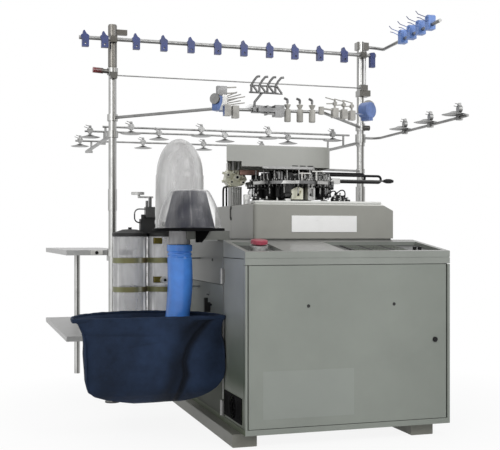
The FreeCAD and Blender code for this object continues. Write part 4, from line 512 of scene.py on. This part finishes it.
def evaluated(item):
    # the plain mesh that an object gives with its modifiers or as a curve
    graph = bpy.context.evaluated_depsgraph_get()
    return bpy.data.meshes.new_from_object(item.evaluated_get(graph))


def ringInto(work, steps, spot):
    return [work.verts.new(spot(2 * pi * i / steps)) for i in range(steps)]


def joinRings(work, rings):
    for low, high in zip(rings, rings[1:]):
        for i in range(len(low)):
            k = (i + 1) % len(low)
            work.faces.new((low[i], high[i], high[k], low[k]))


def roundAbout(centre, radius, angle, height):
    return (centre[0] + radius * cos(angle), centre[1] + radius * sin(angle), height)


def latheInto(work, profile, centre, closed, steps=96, wobble=lambda angle, height: 0.0):
    # turns a profile of (radius, height) about an upright line and closes its first (0) or last (-1) ring
    rings = [ringInto(work, steps, lambda angle: roundAbout(centre, radius + wobble(angle, height), angle, height))
             for radius, height in profile]
    joinRings(work, rings)
    work.faces.new(rings[closed])


def applied(piece, kind, settings):
    # applies a modifier and leaves a plain mesh
    setAll(piece.modifiers.new(kind.lower(), kind), settings)
    mesh = evaluated(piece)
    piece.modifiers.clear()
    piece.data = mesh
    return piece


def shell(name, build, look, slotName, wall, weld=0.00002):
    # a thin wall that grows inwards from its outer face
    piece = place(name, meshFrom(name, build, weld), look, slotName=slotName)
    return applied(piece, "SOLIDIFY", {"thickness": wall, "offset": -1.0})


def boxInto(work, low, high):
    size = Vector(high) - Vector(low)
    middle = (Vector(high) + Vector(low)) / 2
    for corner in bmesh.ops.create_cube(work, size=1.0)["verts"]:
        corner.co = corner.co * size + middle


def rodInto(work, start, end, radius, steps, endRadius=None):
    start = Vector(start)
    end = Vector(end)
    path = end - start
    made = bmesh.ops.create_cone(work, cap_ends=True, segments=steps, radius1=radius,
                                 radius2=radius if endRadius is None else endRadius, depth=path.length)["verts"]
    spin = path.to_track_quat("Z", "Y").to_matrix()
    for vert in made:
        vert.co = spin @ vert.co + (start + end) / 2


def tubeAlong(name, points, radius, look):
    # a smooth tube that follows a NURBS line through its control points
    curve = bpy.data.curves.new(name, "CURVE")
    setAll(curve, {"dimensions": "3D", "resolution_u": 10, "bevel_depth": radius, "bevel_resolution": 3,
                   "use_fill_caps": True})
    spline = curve.splines.new("NURBS")
    spline.points.add(len(points) - 1)
    for point, spot in zip(spline.points, points):
        point.co = (*spot, 1.0)
    setAll(spline, {"order_u": 3, "use_endpoint_u": True})
    line = addObject(name + "Line", curve)
    mesh = evaluated(line)
    mesh.name = name
    bpy.data.objects.remove(line)
    place(name, mesh, look)


def newGroup(name, inputs):
    # a Geometry Nodes group with named inputs, their identifiers and their sockets inside
    tree = bpy.data.node_groups.new(name, "GeometryNodeTree")
    for way in ("INPUT", "OUTPUT"):
        tree.interface.new_socket("Geometry", in_out=way, socket_type="NodeSocketGeometry")
    marks = {label: tree.interface.new_socket(label, in_out="INPUT", socket_type="NodeSocket" + kind).identifier
             for label, (kind, value) in inputs.items()}
    return tree, marks, addNode(tree, "NodeGroupInput").outputs


def copiesOut(tree, points, shape, look, turn=(0, 0, 0)):
    # a copy of the shape at each point, realized and given its material
    copies = addNode(tree, "GeometryNodeInstanceOnPoints", {"Points": points, "Instance": shape, "Rotation": turn})
    real = addNode(tree, "GeometryNodeRealizeInstances", {"Geometry": copies.outputs["Instances"]})
    paint = addNode(tree, "GeometryNodeSetMaterial",
                    {"Geometry": real.outputs["Geometry"], "Material": finishes[look]})
    addNode(tree, "NodeGroupOutput", {"Geometry": paint.outputs["Geometry"]})


def grown(name, start, tree, marks, inputs):
    # the mesh that the group makes of its start mesh
    holder = addObject(name, start)
    modifier = holder.modifiers.new("copies", "NODES")
    modifier.node_group = tree
    for label, mark in marks.items():
        modifier[mark] = inputs[label][1]
    mesh = evaluated(holder)
    bpy.data.objects.remove(holder)
    return mesh


def ringOfCopies(name, template, count, radius, height, look, sweep, start):
    # Geometry Nodes: copies of a small mesh on a level circle, each turned outwards
    inputs = {"Count": ("Int", count), "Radius": ("Float", radius), "Sweep": ("Float", radians(sweep)),
              "Start": ("Float", radians(start))}
    tree, marks, given = newGroup(name + "Ring", inputs)
    line = addNode(tree, "GeometryNodeMeshLine", {"Offset": (0, 0, 0), "Count": given["Count"]})
    share = mathNode(tree, "DIVIDE", addNode(tree, "GeometryNodeInputIndex").outputs[0], given["Count"])
    angle = mathNode(tree, "MULTIPLY_ADD", share, given["Sweep"], given["Start"])
    across, along = [mathNode(tree, "MULTIPLY", mathNode(tree, kind, angle), given["Radius"])
                     for kind in ("COSINE", "SINE")]
    spot = addNode(tree, "ShaderNodeCombineXYZ", {"X": across, "Y": along}).outputs[0]
    spread = addNode(tree, "GeometryNodeSetPosition", {"Geometry": line.outputs["Mesh"], "Position": spot})
    turn = addNode(tree, "ShaderNodeCombineXYZ", {"Z": angle}).outputs[0]
    copiesOut(tree, spread.outputs["Geometry"], given["Geometry"], look, turn)
    mesh = grown(name, template, tree, marks, inputs)
    mesh.transform(Matrix.Translation((0, 0, height)))
    place(name, mesh, look)


def rowOfCopies(name, template, points, look):
    # Geometry Nodes: a copy of a small mesh at each of the points
    shape = addObject(name + "Shape", template)
    inputs = {"Template": ("Object", shape)}
    tree, marks, given = newGroup(name + "Row", inputs)
    info = addNode(tree, "GeometryNodeObjectInfo", {"Object": given["Template"]})
    copiesOut(tree, given["Geometry"], info.outputs["Geometry"], look)
    cloud = bpy.data.meshes.new(name)
    cloud.from_pydata(points, [], [])
    mesh = grown(name, cloud, tree, marks, inputs)
    bpy.data.objects.remove(shape)
    place(name, mesh, look)


# bag

# up and around count the faces; keep is the reach to the left, right and front; wide is the front at the rim, foldWide
# the same for the folds; rim is the length of the top edge; at the seam the cloth's map closes
bag = {"left": -1.259, "right": -0.497, "front": -0.432, "side": 0.054, "top": 0.6, "bottom": 0.172,
       "around": 360, "up": 72, "fold": 0.0075, "wall": 0.0022, "keep": (-1.2585, -0.4975, -0.4575),
       "wide": 0.762, "foldWide": 0.76, "rim": 2.067, "seam": 2.0}
# share of the height, then how far the left, right and front run in
bagSections = [(1.0, 0.0, 0.0, 0.0), (0.95, 0.028, 0.012, -0.002), (0.86, 0.046, 0.02, -0.006),
               (0.78, 0.052, 0.019, -0.01), (0.7, 0.054, 0.007, -0.013), (0.6, 0.053, 0.002, -0.014),
               (0.4, 0.06, 0.002, -0.012), (0.29, 0.063, 0.011, -0.01), (0.185, 0.076, 0.042, -0.002),
               (0.126, 0.106, 0.074, 0.012), (0.07, 0.172, 0.112, 0.036), (0.026, 0.262, 0.168, 0.06),
               (0.0, 0.312, 0.208, 0.086)]
# the deep fold at the right of the front: share of the height and place across the front
foldLine = [(1.0, 0.93), (0.95, 0.885), (0.82, 0.815), (0.655, 0.753), (0.49, 0.722), (0.335, 0.735), (0.14, 0.7),
            (0.0, 0.68)]


def between(table, share):
    # the values of a falling table at one share
    for high, low in zip(table, table[1:]):
        if share >= low[0]:
            t = (share - low[0]) / (high[0] - low[0])
            return [low[k] + (high[k] - low[k]) * t for k in range(1, len(low))]


def hump(value, width):
    return exp(-(value / width) ** 2)


def paintedFoldShade(across, share):
    # 0 to 1: how much painted shade a place on the front gets, by how deep in a fold it lies
    off = (across - between(foldLine, share)[0]) * bag["foldWide"]
    reach = 0.03 + 0.04 * hump(share - 0.15, 0.22) + 0.03 * hump(share - 0.9, 0.14)
    deep = 0.95 * hump(off, 0.012) + 0.75 * hump(off + reach * 0.75, reach)
    low = 0.5 * hump(across - 0.22, 0.1) * hump(share - 0.2, 0.14)
    sags = 0.45 * hump(share - 0.835 + 0.06 * across, 0.01) * hump(across - 0.28, 0.24)
    sags += 0.4 * hump(share - 0.705 - 0.22 * (across - 0.45), 0.01) * hump(across - 0.47, 0.12)
    return min(1.0, deep + low + sags)


def foldDepth(across, share):
    # how far in the cloth lies at a place across the front
    off = (across - between(foldLine, share)[0]) * bag["foldWide"]
    window = min(1.0, (1 - share) / 0.1) * min(1.0, 0.35 + share / 0.3)
    crease = 0.024 * hump(off, 0.014) + 0.024 * hump(off + 0.042, 0.04)
    pocket = -0.014 * hump(off - 0.085, 0.052) * hump(share - 0.45, 0.32)
    sag = 0.0055 * hump(share - 0.84 + 0.06 * across, 0.017) * hump(across - 0.28, 0.24)
    sag += 0.0045 * hump(share - 0.72 - 0.22 * (across - 0.45), 0.016) * hump(across - 0.47, 0.12)
    belly = -0.008 * hump(across - 0.42, 0.3) * hump(share - 0.5, 0.35)
    tuck = 0.01 * hump(across - 0.24 - 0.3 * share, 0.035) * hump(share - 0.16, 0.14)
    return (crease + pocket + tuck) * window + sag + belly


def bagPoint(turn, share):
    # turn 0..1 runs along the front from left to right, then round the back
    leftIn, rightIn, frontIn = between(bagSections, share)
    left = bag["left"] + leftIn
    right = bag["right"] - rightIn
    front = bag["front"] + frontIn
    radius = (right - left) / 2
    straight = right - left
    side = bag["side"]
    curve = pi * radius
    run = turn * (straight + 2 * side + curve)
    if run <= straight:
        t = run / straight
        bulge = 0.02 * radius * sin(pi * t)
        return Vector((left + straight * t, front - bulge, 0)), Vector((0, -1, 0)), run
    past = run - straight
    if past <= side:
        return Vector((right, front + past, 0)), Vector((1, 0, 0)), run
    past -= side
    if past <= curve:
        angle = past / radius
        out = Vector((cos(angle), sin(angle), 0))
        return Vector(((left + right) / 2, front + side, 0)) + out * radius, out, run
    past -= curve
    return Vector((left, front + side - past, 0)), Vector((-1, 0, 0)), run


def bagVertex(turn, share):
    # a place on the cloth with its folds, how far round it is and how much painted fold shade it gets
    point, out, run = bagPoint(turn, share)
    deep = sin(pi * min(1.0, (1 - share) * 1.15)) ** 0.8 if share < 1 else 0
    folds = (sin(turn * 44 + 3.0 * share) * 0.35 + sin(turn * 27 - 5 * share + 1.3) * 0.4
             + sin(turn * 71 + 9 * share) * 0.18)
    slack = sin(turn * 9 + share * 7) * 0.3
    point = point - out * (bag["fold"] * deep * (0.9 + folds + slack))
    across = (point.x - bag["left"]) / bag["wide"]
    atFront = out.y < -0.5
    if atFront:
        point += Vector((0, foldDepth(across, share), 0))
    corner = min(abs(run), abs(run - bag["rim"]), abs(run - bag["wide"])) if share > 0.1 else 1.0
    point += Vector((0, 0.018, 0)) * hump(corner, 0.035) * deep
    leftEnd, rightEnd, frontEnd = bag["keep"]
    point.y = max(point.y, frontEnd)
    point.x = min(max(point.x, leftEnd), rightEnd)
    point.z = bag["bottom"] + share * (bag["top"] - bag["bottom"])
    return point, run, paintedFoldShade(across, share) if atFront else 0.0


def bagInto(work):
    uvLayer = work.loops.layers.uv.new("cloth")
    # this layer carries the painted shade of the folds to the cloth
    foldShadeLayer = work.verts.layers.float.new("foldShade")
    rings = []
    for j in range(bag["up"] + 1):
        level = 1 - j / bag["up"]
        share = level if level > 0.5 else 0.5 * (level / 0.5) ** 1.6
        ring = []
        for i in range(bag["around"]):
            point, run, foldShade = bagVertex(i / bag["around"], share)
            vert = work.verts.new(point)
            vert[foldShadeLayer] = foldShade
            ring.append((vert, run, j * (bag["top"] - bag["bottom"]) / bag["up"]))
        rings.append(ring)
    for upper, lower in zip(rings, rings[1:]):
        for i in range(len(upper)):
            k = (i + 1) % len(upper)
            corners = (upper[i], lower[i], lower[k], upper[k])
            face = work.faces.new([corner[0] for corner in corners])
            for loop, corner in zip(face.loops, corners):
                around = bag["seam"] if k == 0 and corner in (lower[k], upper[k]) else corner[1]
                loop[uvLayer].uv = (around, corner[2])
    bottom = [corner[0] for corner in rings[-1]]
    middle = sum((vert.co for vert in bottom), Vector()) / len(bottom)
    middle = work.verts.new(middle + Vector((0, 0, 0.003)))
    for i in range(len(bottom)):
        face = work.faces.new((bottom[i], middle, bottom[(i + 1) % len(bottom)]))
        for loop in face.loops:
            loop[uvLayer].uv = loop.vert.co.xy
    bmesh.ops.recalc_face_normals(work, faces=work.faces)
    bag["area"] = sum(face.calc_area() for face in work.faces)


def hemInto(work):
    # the cloth turned over the rod: a soft roll with a stitched lower edge
    steps = 240
    rings = []
    for i in range(steps):
        turn = i / steps
        point, out, run = bagPoint(turn, 1.0)
        swell = 0.0068 + 0.0007 * sin(turn * 90) + 0.0005 * sin(turn * 211 + 1)

        def spot(angle):
            drop = 0.007 if sin(angle) < -0.5 else 0.0
            lift = Vector((0, 0, bag["top"] + swell * sin(angle) - drop))
            return point - out * 0.005 + out * (swell * cos(angle)) + lift
        rings.append(ringInto(work, 14, spot))
    joinRings(work, rings + rings[:1])
    uvLayer = work.loops.layers.uv.new("cloth")
    for face in work.faces:
        for loop in face.loops:
            loop[uvLayer].uv = (loop.vert.co.x + loop.vert.co.y, loop.vert.co.z)


navyBag = shell("navyBag", bagInto, "navyCloth", "navy_fabric", bag["wall"], 0)
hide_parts("bag")
bagHem = place("bagHem", meshFrom("bagHem", hemInto, 0), "navyCloth", slotName="navy_fabric")

# collector: dome, bell, net and hose

dome = {"x": -0.6805, "y": -0.2, "radius": 0.126, "foot": 1.042, "step": 1.323, "top": 1.511, "wall": 0.0025}
bell = {"x": -0.7, "y": -0.5, "foot": 0.158, "head": 0.092, "low": 1.042, "high": 1.23, "bulge": 0.014,
        "wall": 0.0025}
net = {"foot": 0.127, "head": 0.081, "low": 1.0425, "high": 1.223, "pleats": 26, "around": 156, "up": 26,
       "wall": 0.0012}
hose = {"top": 0.96, "low": 0.52, "radius": 0.0668, "wall": 0.0024, "rings": 110, "around": 72, "cuff": 0.075,
        "bendFrom": 0.35, "bend": 0.022, "grooves": ((0.086, 0.012, 0.0062), (0.135, 0.011, 0.0052))}


def domeWobble(angle, height):
    lift = max(0.0, (height - 1.1) / 0.41)
    return -(0.0012 + 0.0012 * sin(3 * angle + 9 * height) + 0.001 * sin(5 * angle - 14 * height)) * lift


def domeInto(work):
    radius = dome["radius"]
    foot = dome["foot"]
    points = [(radius + 0.004, foot), (radius + 0.004, foot + 0.006), (radius, foot + 0.008)]
    for i in range(1, 14):
        points.append((radius - 0.0006 * i / 13, foot + 0.008 + (dome["step"] - foot - 0.014) * i / 13))
    neck = radius - 0.004
    points.append((neck + 0.001, dome["step"]))
    rise = dome["top"] - dome["step"]
    for i in range(1, 30):
        angle = pi / 2 * i / 30
        points.append((neck * cos(angle), dome["step"] + rise * sin(angle)))
    points.append((0.0012, dome["top"]))
    latheInto(work, points, (dome["x"], dome["y"]), -1, wobble=domeWobble)


def bellInto(work):
    foot = bell["foot"]
    low = bell["low"]
    points = [(foot + 0.008, low), (foot + 0.008, low + 0.004), (foot + 0.001, low + 0.006)]
    for i in range(1, 24):
        share = i / 24
        radius = foot + (bell["head"] - foot) * share + bell["bulge"] * 4 * share * (1 - share)
        points.append((radius, low + (bell["high"] - low) * share))
    points += [(bell["head"] - 0.002, bell["high"] - 0.001), (bell["head"] - 0.008, bell["high"]),
               (0.001, bell["high"])]
    latheInto(work, points, (bell["x"], bell["y"]), -1)


def netInto(work):
    uvLayer = work.loops.layers.uv.new("net")
    rings = []
    for j in range(net["up"] + 1):
        share = j / net["up"]

        def spot(angle):
            radius = net["foot"] + (net["head"] - net["foot"]) * share
            radius += 0.0016 * sin(net["pleats"] * angle) * (0.3 + 0.7 * share) - 0.0016
            return roundAbout((bell["x"], bell["y"]), radius, angle, net["low"] + (net["high"] - net["low"]) * share)
        rings.append(ringInto(work, net["around"], spot))
    for j, (low, high) in enumerate(zip(rings, rings[1:])):
        for i in range(net["around"]):
            k = (i + 1) % net["around"]
            face = work.faces.new((low[i], low[k], high[k], high[i]))
            for loop, (u, v) in zip(face.loops, ((i, j), (i + 1, j), (i + 1, j + 1), (i, j + 1))):
                loop[uvLayer].uv = (u / net["around"], v / net["up"] * 0.25)
    work.faces.new(rings[-1])


def hoseInto(work):
    rings = []
    for j in range(hose["rings"] + 1):
        share = j / hose["rings"]
        past = max(0.0, share - hose["bendFrom"]) / (1 - hose["bendFrom"])
        shift = 0.003 * sin(pi * share * 0.9) - hose["bend"] * past ** 2
        height = hose["top"] + (hose["low"] - hose["top"]) * share
        cuff = share < hose["cuff"]
        grooves = sum(depth * hump(share - at, width) for at, width, depth in hose["grooves"])
        radius = hose["radius"] - (0.0008 if cuff else 0.0012 + grooves)

        def spot(angle):
            soft = 0.0011 * sin(2 * angle + 5 * share) + 0.0007 * sin(3 * angle - 9 * share) - 0.0018
            return roundAbout((dome["x"] + shift, dome["y"]), radius + (0 if cuff else soft), angle, height)
        rings.append(ringInto(work, hose["around"], spot))
    joinRings(work, rings)


piece = shell("clearDome", domeInto, "domePlastic", "clear_plastic", dome["wall"])
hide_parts("collector_dome")
piece = shell("clearBell", bellInto, "bellPlastic", "clear_plastic", bell["wall"])
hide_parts("bell")
piece = shell("darkNet", netInto, "netCloth", "dark_net", net["wall"], 0)
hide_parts("bell_net")
piece = shell("ductHose", hoseInto, "hoseBlue", "blue_plastic", hose["wall"], 0)
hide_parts("blue_hose")
print("stage: collector made")

# clear tanks

tank = {"radius": 0.093, "low": 0.245, "high": 1.003, "y": 0.122, "places": (-0.884, -0.694), "wall": 0.0035}


def tanksInto(work):
    radius = tank["radius"]
    low = tank["low"]
    high = tank["high"]
    points = [(0.001, low), (radius - 0.008, low), (radius - 0.001, low + 0.006)]
    for i in range(1, 40):
        points.append((radius - 0.0008 - 0.0006 * sin(i * 1.9), low + 0.006 + (high - low - 0.006) * i / 40))
    points += [(radius - 0.0006, high - 0.006), (radius, high - 0.004), (radius, high)]
    for x in tank["places"]:
        latheInto(work, points, (x, tank["y"]), 0, 80)


piece = shell("clearTanks", tanksInto, "tankPlastic", "clear_plastic", tank["wall"])
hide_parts("tanks")
print("stage: tanks made")

# small parts on the covers, the door and the console


def blocks(name, parts, look, body="root", bevel=0.0012):
    # bevelled blocks as one piece
    def build(work):
        for low, high in parts:
            boxInto(work, low, high)
    piece = place(name, meshFrom(name, build), look, body, smooth=False)
    applied(piece, "BEVEL", {"width": bevel, "segments": 2, "limit_method": "ANGLE"})


def pins(name, rods, look, body="root", steps=14):
    # straight rods as one piece: start, end, radius and, where it tapers, the other radius
    def build(work):
        for start, end, radius, *other in rods:
            rodInto(work, start, end, radius, steps, *other)
    place(name, meshFrom(name, build), look, body, smooth=False)


blocks("blankPlate", [((-0.124, -0.3785, 1.026), (0.244, -0.3748, 1.112))], "blankPlate", bevel=0.0009)
blocks("bareLabelPlace", [((-0.405, -0.7555, 0.135), (0.062, -0.7548, 0.362))], "labelPlace", "door", 0.0002)
pins("doorScrews", [((x, -0.7575, 0.669), (x, -0.7545, 0.669), 0.0075, 0.0085) for x in (-0.175, 0.277)],
     "charcoalMoulding", "door")
pins("coverScrews", [((-0.3325, 0.048, z), (-0.3285, 0.048, z), 0.0085, 0.0095) for z in (1.102, 1.163)]
     + [((-0.3315, 0.058, 1.104), (-0.3315, 0.058, 1.158), 0.0022)], "blackMoulding")
blocks("switchBox", [((-1.018, 0.7145, 0.891), (-0.944, 0.7352, 0.9195))], "whiteCeramic", bevel=0.003)
pins("switchKnob", [((-0.981, 0.7105, 0.905), (-0.981, 0.715, 0.905), 0.009, 0.011)], "blackMoulding")
# a table plate on the head cover in the near-white enamel that paints the highlight of its front edge
blocks("headTable", [((-0.325, -0.3745, 1.1746), (0.392, -0.285, 1.1893))], "paintedLightEnamel", bevel=0.006)
blocks("armSaddle", [((-0.662, -0.3, 0.9872), (-0.6035, -0.264, 1.03))], "bedEnamel", bevel=0.002)
blocks("tankCatches", [((-0.768, 0.033, low), (-0.722, 0.062, low + 0.033)) for low in (0.752, 0.963)],
       "brassStrap", bevel=0.002)
pins("tankValve", [((-0.717, 0.012, 0.767), (-0.717, 0.0335, 0.767), 0.015, 0.018)], "whiteCeramic", steps=24)
pins("tankValveCore", [((-0.711, 0.01, 0.767), (-0.711, 0.0125, 0.767), 0.008)], "blackMoulding")
blocks("coverSlots", [((-0.4955, -0.094, 0.686), (-0.4925, -0.048, 0.694)),
                      ((-0.4945, -0.172, 0.872), (-0.4925, -0.15, 0.886))], "blackMoulding", bevel=0.0005)

keys = {"x": 0.129, "stepX": 0.0196, "columns": (0, 1, 2, 3, 5, 6, 7, 8, 9, 11, 12, 13, 14),
        "y": -0.674, "stepY": 0.0198, "rows": (0, 1, 2, 3, 4, 6, 7, 8, 9, 10), "middle": (-0.4578, 0.9575)}


def keyInto(work):
    boxInto(work, (-0.0068, -0.0045, -0.0004), (0.0068, 0.0045, 0.0026))
    bmesh.ops.bevel(work, geom=list(work.edges), offset=0.0008, segments=1, affect="EDGES")
    bmesh.ops.rotate(work, verts=work.verts, cent=(0, 0, 0), matrix=Matrix.Rotation(desk["slope"], 3, "X"))


keySpots = []
for row in keys["rows"]:
    y = keys["y"] + row * keys["stepY"]
    height = keys["middle"][1] + (y - keys["middle"][0]) * tan(desk["slope"])
    keySpots += [(keys["x"] + column * keys["stepX"], y, height) for column in keys["columns"]]
rowOfCopies("keypadKeys", meshFrom("key", keyInto), keySpots, "keyRubber")
print("stage: cover parts made")

# knitting head: heights of the cam plate, its underside, the head cover and the hood

head = {"plate": 1.304, "under": 1.287, "deck": 1.1747, "hood": 1.376}


def polar(radius, degrees, height):
    return roundAbout((0, 0), radius, radians(degrees), height)


def coilMesh(radius, height, turns, wire, steps=18):
    # a coil spring standing on its foot
    def build(work):
        rings = []
        count = int(turns * steps)
        for i in range(count + 1):
            turn = 2 * pi * i / steps
            out = Vector((cos(turn), sin(turn), 0))
            middle = out * radius + Vector((0, 0, wire + (height - 2 * wire) * i / count))
            rings.append(ringInto(work, 6, lambda angle: middle + out * (wire * cos(angle))
                                  + Vector((0, 0, wire * sin(angle)))))
        joinRings(work, rings)
        work.faces.new(rings[0])
        work.faces.new(rings[-1])
    return meshFrom("coil", build, 0)


def leverMesh(length, width, height, tip):
    # a flat lever that points along X with a raised nose
    def build(work):
        boxInto(work, (-length / 2, -width / 2, 0), (length / 2, width / 2, height * 0.5))
        boxInto(work, (length / 2 - tip, -width / 2, 0), (length / 2, width / 2, height))
    return meshFrom("lever", build)


# cast lobes with dark bolts on the front of the cream clamp block: x, z, radius and how far out
lobes = [(-0.352, 1.344, 0.015, 0.012), (-0.331, 1.306, 0.013, 0.01), (-0.3, 1.332, 0.02, 0.014),
         (-0.268, 1.304, 0.015, 0.016), (-0.262, 1.34, 0.012, 0.009), (-0.318, 1.36, 0.01, 0.013)]
pins("clampLobes", [((x, 0.0352, z), (x, 0.0352 - out, z), r, r * 0.8) for x, z, r, out in lobes],
     "creamEnamel", steps=20)
pins("clampBolts", [((x, 0.0355 - out, z), (x, 0.0322 - out, z), r * 0.36) for x, z, r, out in lobes],
     "blackMoulding")
blocks("clampBar", [((-0.285, 0.013, 1.345), (-0.176, 0.0353, 1.3735))], "copperBar", bevel=0.002)
blocks("clampCatchWhite", [((-0.3455, 0.06, 1.3725), (-0.327, 0.095, 1.415))], "whiteCeramic", bevel=0.004)
blocks("clampCatchGrey", [((-0.3215, 0.06, 1.3725), (-0.306, 0.095, 1.422)),
                          ((-0.287, 0.06, 1.3725), (-0.276, 0.095, 1.422))], "silverCast", bevel=0.002)
pins("clampPostRods", [((x, 0.0505, 1.1745), (x, 0.0505, 1.2815), 0.0035)
                       for x in (-0.318, -0.305, -0.292, -0.279)], "turnedSteel")

# levers, springs and pins round the cam plate
ringOfCopies("plateLevers", leverMesh(0.026, 0.0024, 0.013, 0.007), 30, 0.2355, head["plate"] - 0.0002,
             "turnedSteel", 172, 188)
ringOfCopies("underLevers", leverMesh(0.02, 0.0022, 0.02, 0.006), 34, 0.238, head["under"] - 0.0198,
             "hookSteel", 190, 178)
upper = [polar(0.2265, angle, head["plate"] - 0.0004) for angle in (196, 212, 229, 247, 263, 279)]
rowOfCopies("hoodSprings", coilMesh(0.0052, head["hood"] - head["plate"] - 0.012, 9, 0.0012), upper, "turnedSteel")
pins("springRods", [((x, y, z), (x, y, head["hood"] - 0.011), 0.0028) for x, y, z in upper], "turnedSteel")
blocks("hoodRail", [((-0.232, -0.234, 1.364), (0.062, -0.2145, 1.37)),
                    ((-0.232, -0.2165, 1.369), (0.062, -0.2135, 1.38))], "tubeChrome", bevel=0.0008)
blocks("hoodSlots", [((x, -0.215, 1.3812), (x + 0.034, -0.2135, 1.3862)) for x in (-0.062, -0.018, 0.026)],
       "blackMoulding", bevel=0.0004)
lower = [polar(0.229, angle, head["under"] - 0.0515) for angle in (187, 201, 222, 243, 262, 280, 297, 316, 340, 357)]
rowOfCopies("underSprings", coilMesh(0.0046, 0.052, 8, 0.0011), lower, "turnedSteel")
pins("underPins", [((x, y, z - 0.012), (x, y, head["under"] + 0.0004), 0.0026) for x, y, z in lower], "turnedSteel")
pins("underKnobs", [((x, y, z - 0.014), (x, y, z), 0.0062, 0.0048) for x, y, z in lower], "blackMoulding")

# slender guides that lean from the plate towards the needles, with white eyelets
fingers = []
eyes = []
feet = []
for i, angle in enumerate((206, 219, 236, 254, 271, 288, 301, 312, 322, 333, 345)):
    foot = Vector(polar(0.231, angle, head["plate"] - 0.0004))
    knee = foot + Vector((0, 0, 0.03 + 0.008 * (i % 3)))
    tip = Vector(polar(0.15, angle + 9, head["plate"] + 0.052 + 0.005 * (i % 2)))
    kept = fingers if i % 3 else feet
    kept += [(foot, knee, 0.0032), (knee, tip, 0.0024, 0.0018)]
    eyes.append((tip, tip + (tip - knee).normalized() * 0.011, 0.0042, 0.0034))
    feet.append((foot, foot + Vector((0, 0, 0.009)), 0.0068))
pins("feedFingers", fingers, "turnedSteel", steps=10)
pins("feedFeet", feet, "blackMoulding", steps=12)
pins("feedEyes", eyes, "whiteCeramic", steps=12)
blocks("whiteLevers", [
    ((-0.02, -0.2465, 1.304), (-0.014, -0.24, 1.344)), ((-0.034, -0.246, 1.34), (0.036, -0.2405, 1.3462)),
    ((0.07, -0.233, 1.304), (0.076, -0.226, 1.356)), ((0.046, -0.2325, 1.352), (0.108, -0.2265, 1.3585))],
    "whiteCeramic")


def standing(rows):
    # blocks on the head cover: x and y of both corners, then the top
    return [((x, y, head["deck"]), (farX, farY, top)) for x, y, farX, farY, top in rows]


# valves, blocks, fittings and small tubes round the cam neck
valves = standing([
    (0.284, -0.15, 0.306, -0.12, 1.208), (0.246, -0.128, 0.276, -0.096, 1.232), (0.286, -0.098, 0.316, -0.06, 1.222),
    (0.252, -0.07, 0.278, -0.036, 1.238), (0.178, -0.208, 0.214, -0.172, 1.214), (0.222, -0.19, 0.25, -0.16, 1.202),
    (0.256, -0.168, 0.276, -0.146, 1.196), (0.206, -0.15, 0.236, -0.118, 1.226),
    (-0.252, -0.136, -0.222, -0.108, 1.222), (-0.206, -0.184, -0.178, -0.158, 1.204),
    (-0.16, -0.214, -0.126, -0.19, 1.196), (0.106, -0.228, 0.138, -0.204, 1.2)])
blocks("deckValves", valves, "blackMoulding", bevel=0.002)
fittings = []
for low, high in valves:
    x = (low[0] + high[0]) / 2
    y = (low[1] + high[1]) / 2
    left = low[0] + 0.006
    top = high[2]
    fittings += [((x, y, top - 0.0005), (x, y, top + 0.016), 0.0058, 0.0046),
                 ((left, low[1] - 0.007, top - 0.01), (left, low[1] + 0.001, top - 0.01), 0.004),
                 ((high[0] - 0.001, y, top - 0.014), (high[0] + 0.012, y, top - 0.014), 0.0036)]
pins("deckFittings", fittings, "turnedSteel", steps=12)
blocks("deckBlocks", standing([(-0.292, -0.09, -0.262, -0.062, 1.232), (-0.236, -0.06, -0.212, -0.04, 1.212),
                               (-0.108, -0.232, -0.076, -0.212, 1.206)]), "silverCast", bevel=0.002)
deckTubes = [[(-0.237, -0.122, 1.234), (-0.238, -0.15, 1.262), (-0.19, -0.19, 1.258), (-0.19, -0.171, 1.216)],
             [(0.196, -0.19, 1.226), (0.214, -0.222, 1.262), (0.262, -0.196, 1.25), (0.266, -0.157, 1.206)],
             [(-0.143, -0.202, 1.208), (-0.12, -0.24, 1.24), (-0.06, -0.246, 1.236), (-0.09, -0.222, 1.204)],
             [(0.122, -0.216, 1.212), (0.14, -0.246, 1.246), (0.186, -0.24, 1.252), (0.221, -0.134, 1.238)]]
for i, line in enumerate(deckTubes):
    tubeAlong("deckTube%d" % i, line, 0.0034, "blackRubber")
print("stage: knitting head made")

# floor: white to the camera and in mirrors, with the shadow of the machine kept faintly near it

half = studio["half"]
floorMesh = bpy.data.meshes.new("floor")
corners = [(x, y, studio["floorTop"]) for x, y in ((-half, -half), (half, -half), (half, half), (-half, half))]
floorMesh.from_pydata(corners, [], [(0, 1, 2, 3)])
pale = Finish("paleFloor")
pale.settle({"Base Color": (*[studio["floor"]] * 3, 1), "Roughness": 0.9, "Specular IOR Level": 0.1})
far = addNode(pale.tree, "ShaderNodeVectorMath", {"operation": "LENGTH"}, (pale.coords["Object"],)).outputs["Value"]
keep = pale.fit(far, 1 - studio["floorKeep"], 1.0, *studio["shadowEnds"])
glow = pale.out("Emission", 0, {"Color": (1, 1, 1, 1), "Strength": 1.0})
blend = mixShaders(pale.tree, pale.math("MULTIPLY", seenRay(pale.tree), keep), pale.shader.outputs[0], glow)
pale.tree.links.new(blend, pale.tree.nodes["Material Output"].inputs["Surface"])
floorMesh.materials.append(pale.material)
addObject("floor", floorMesh)
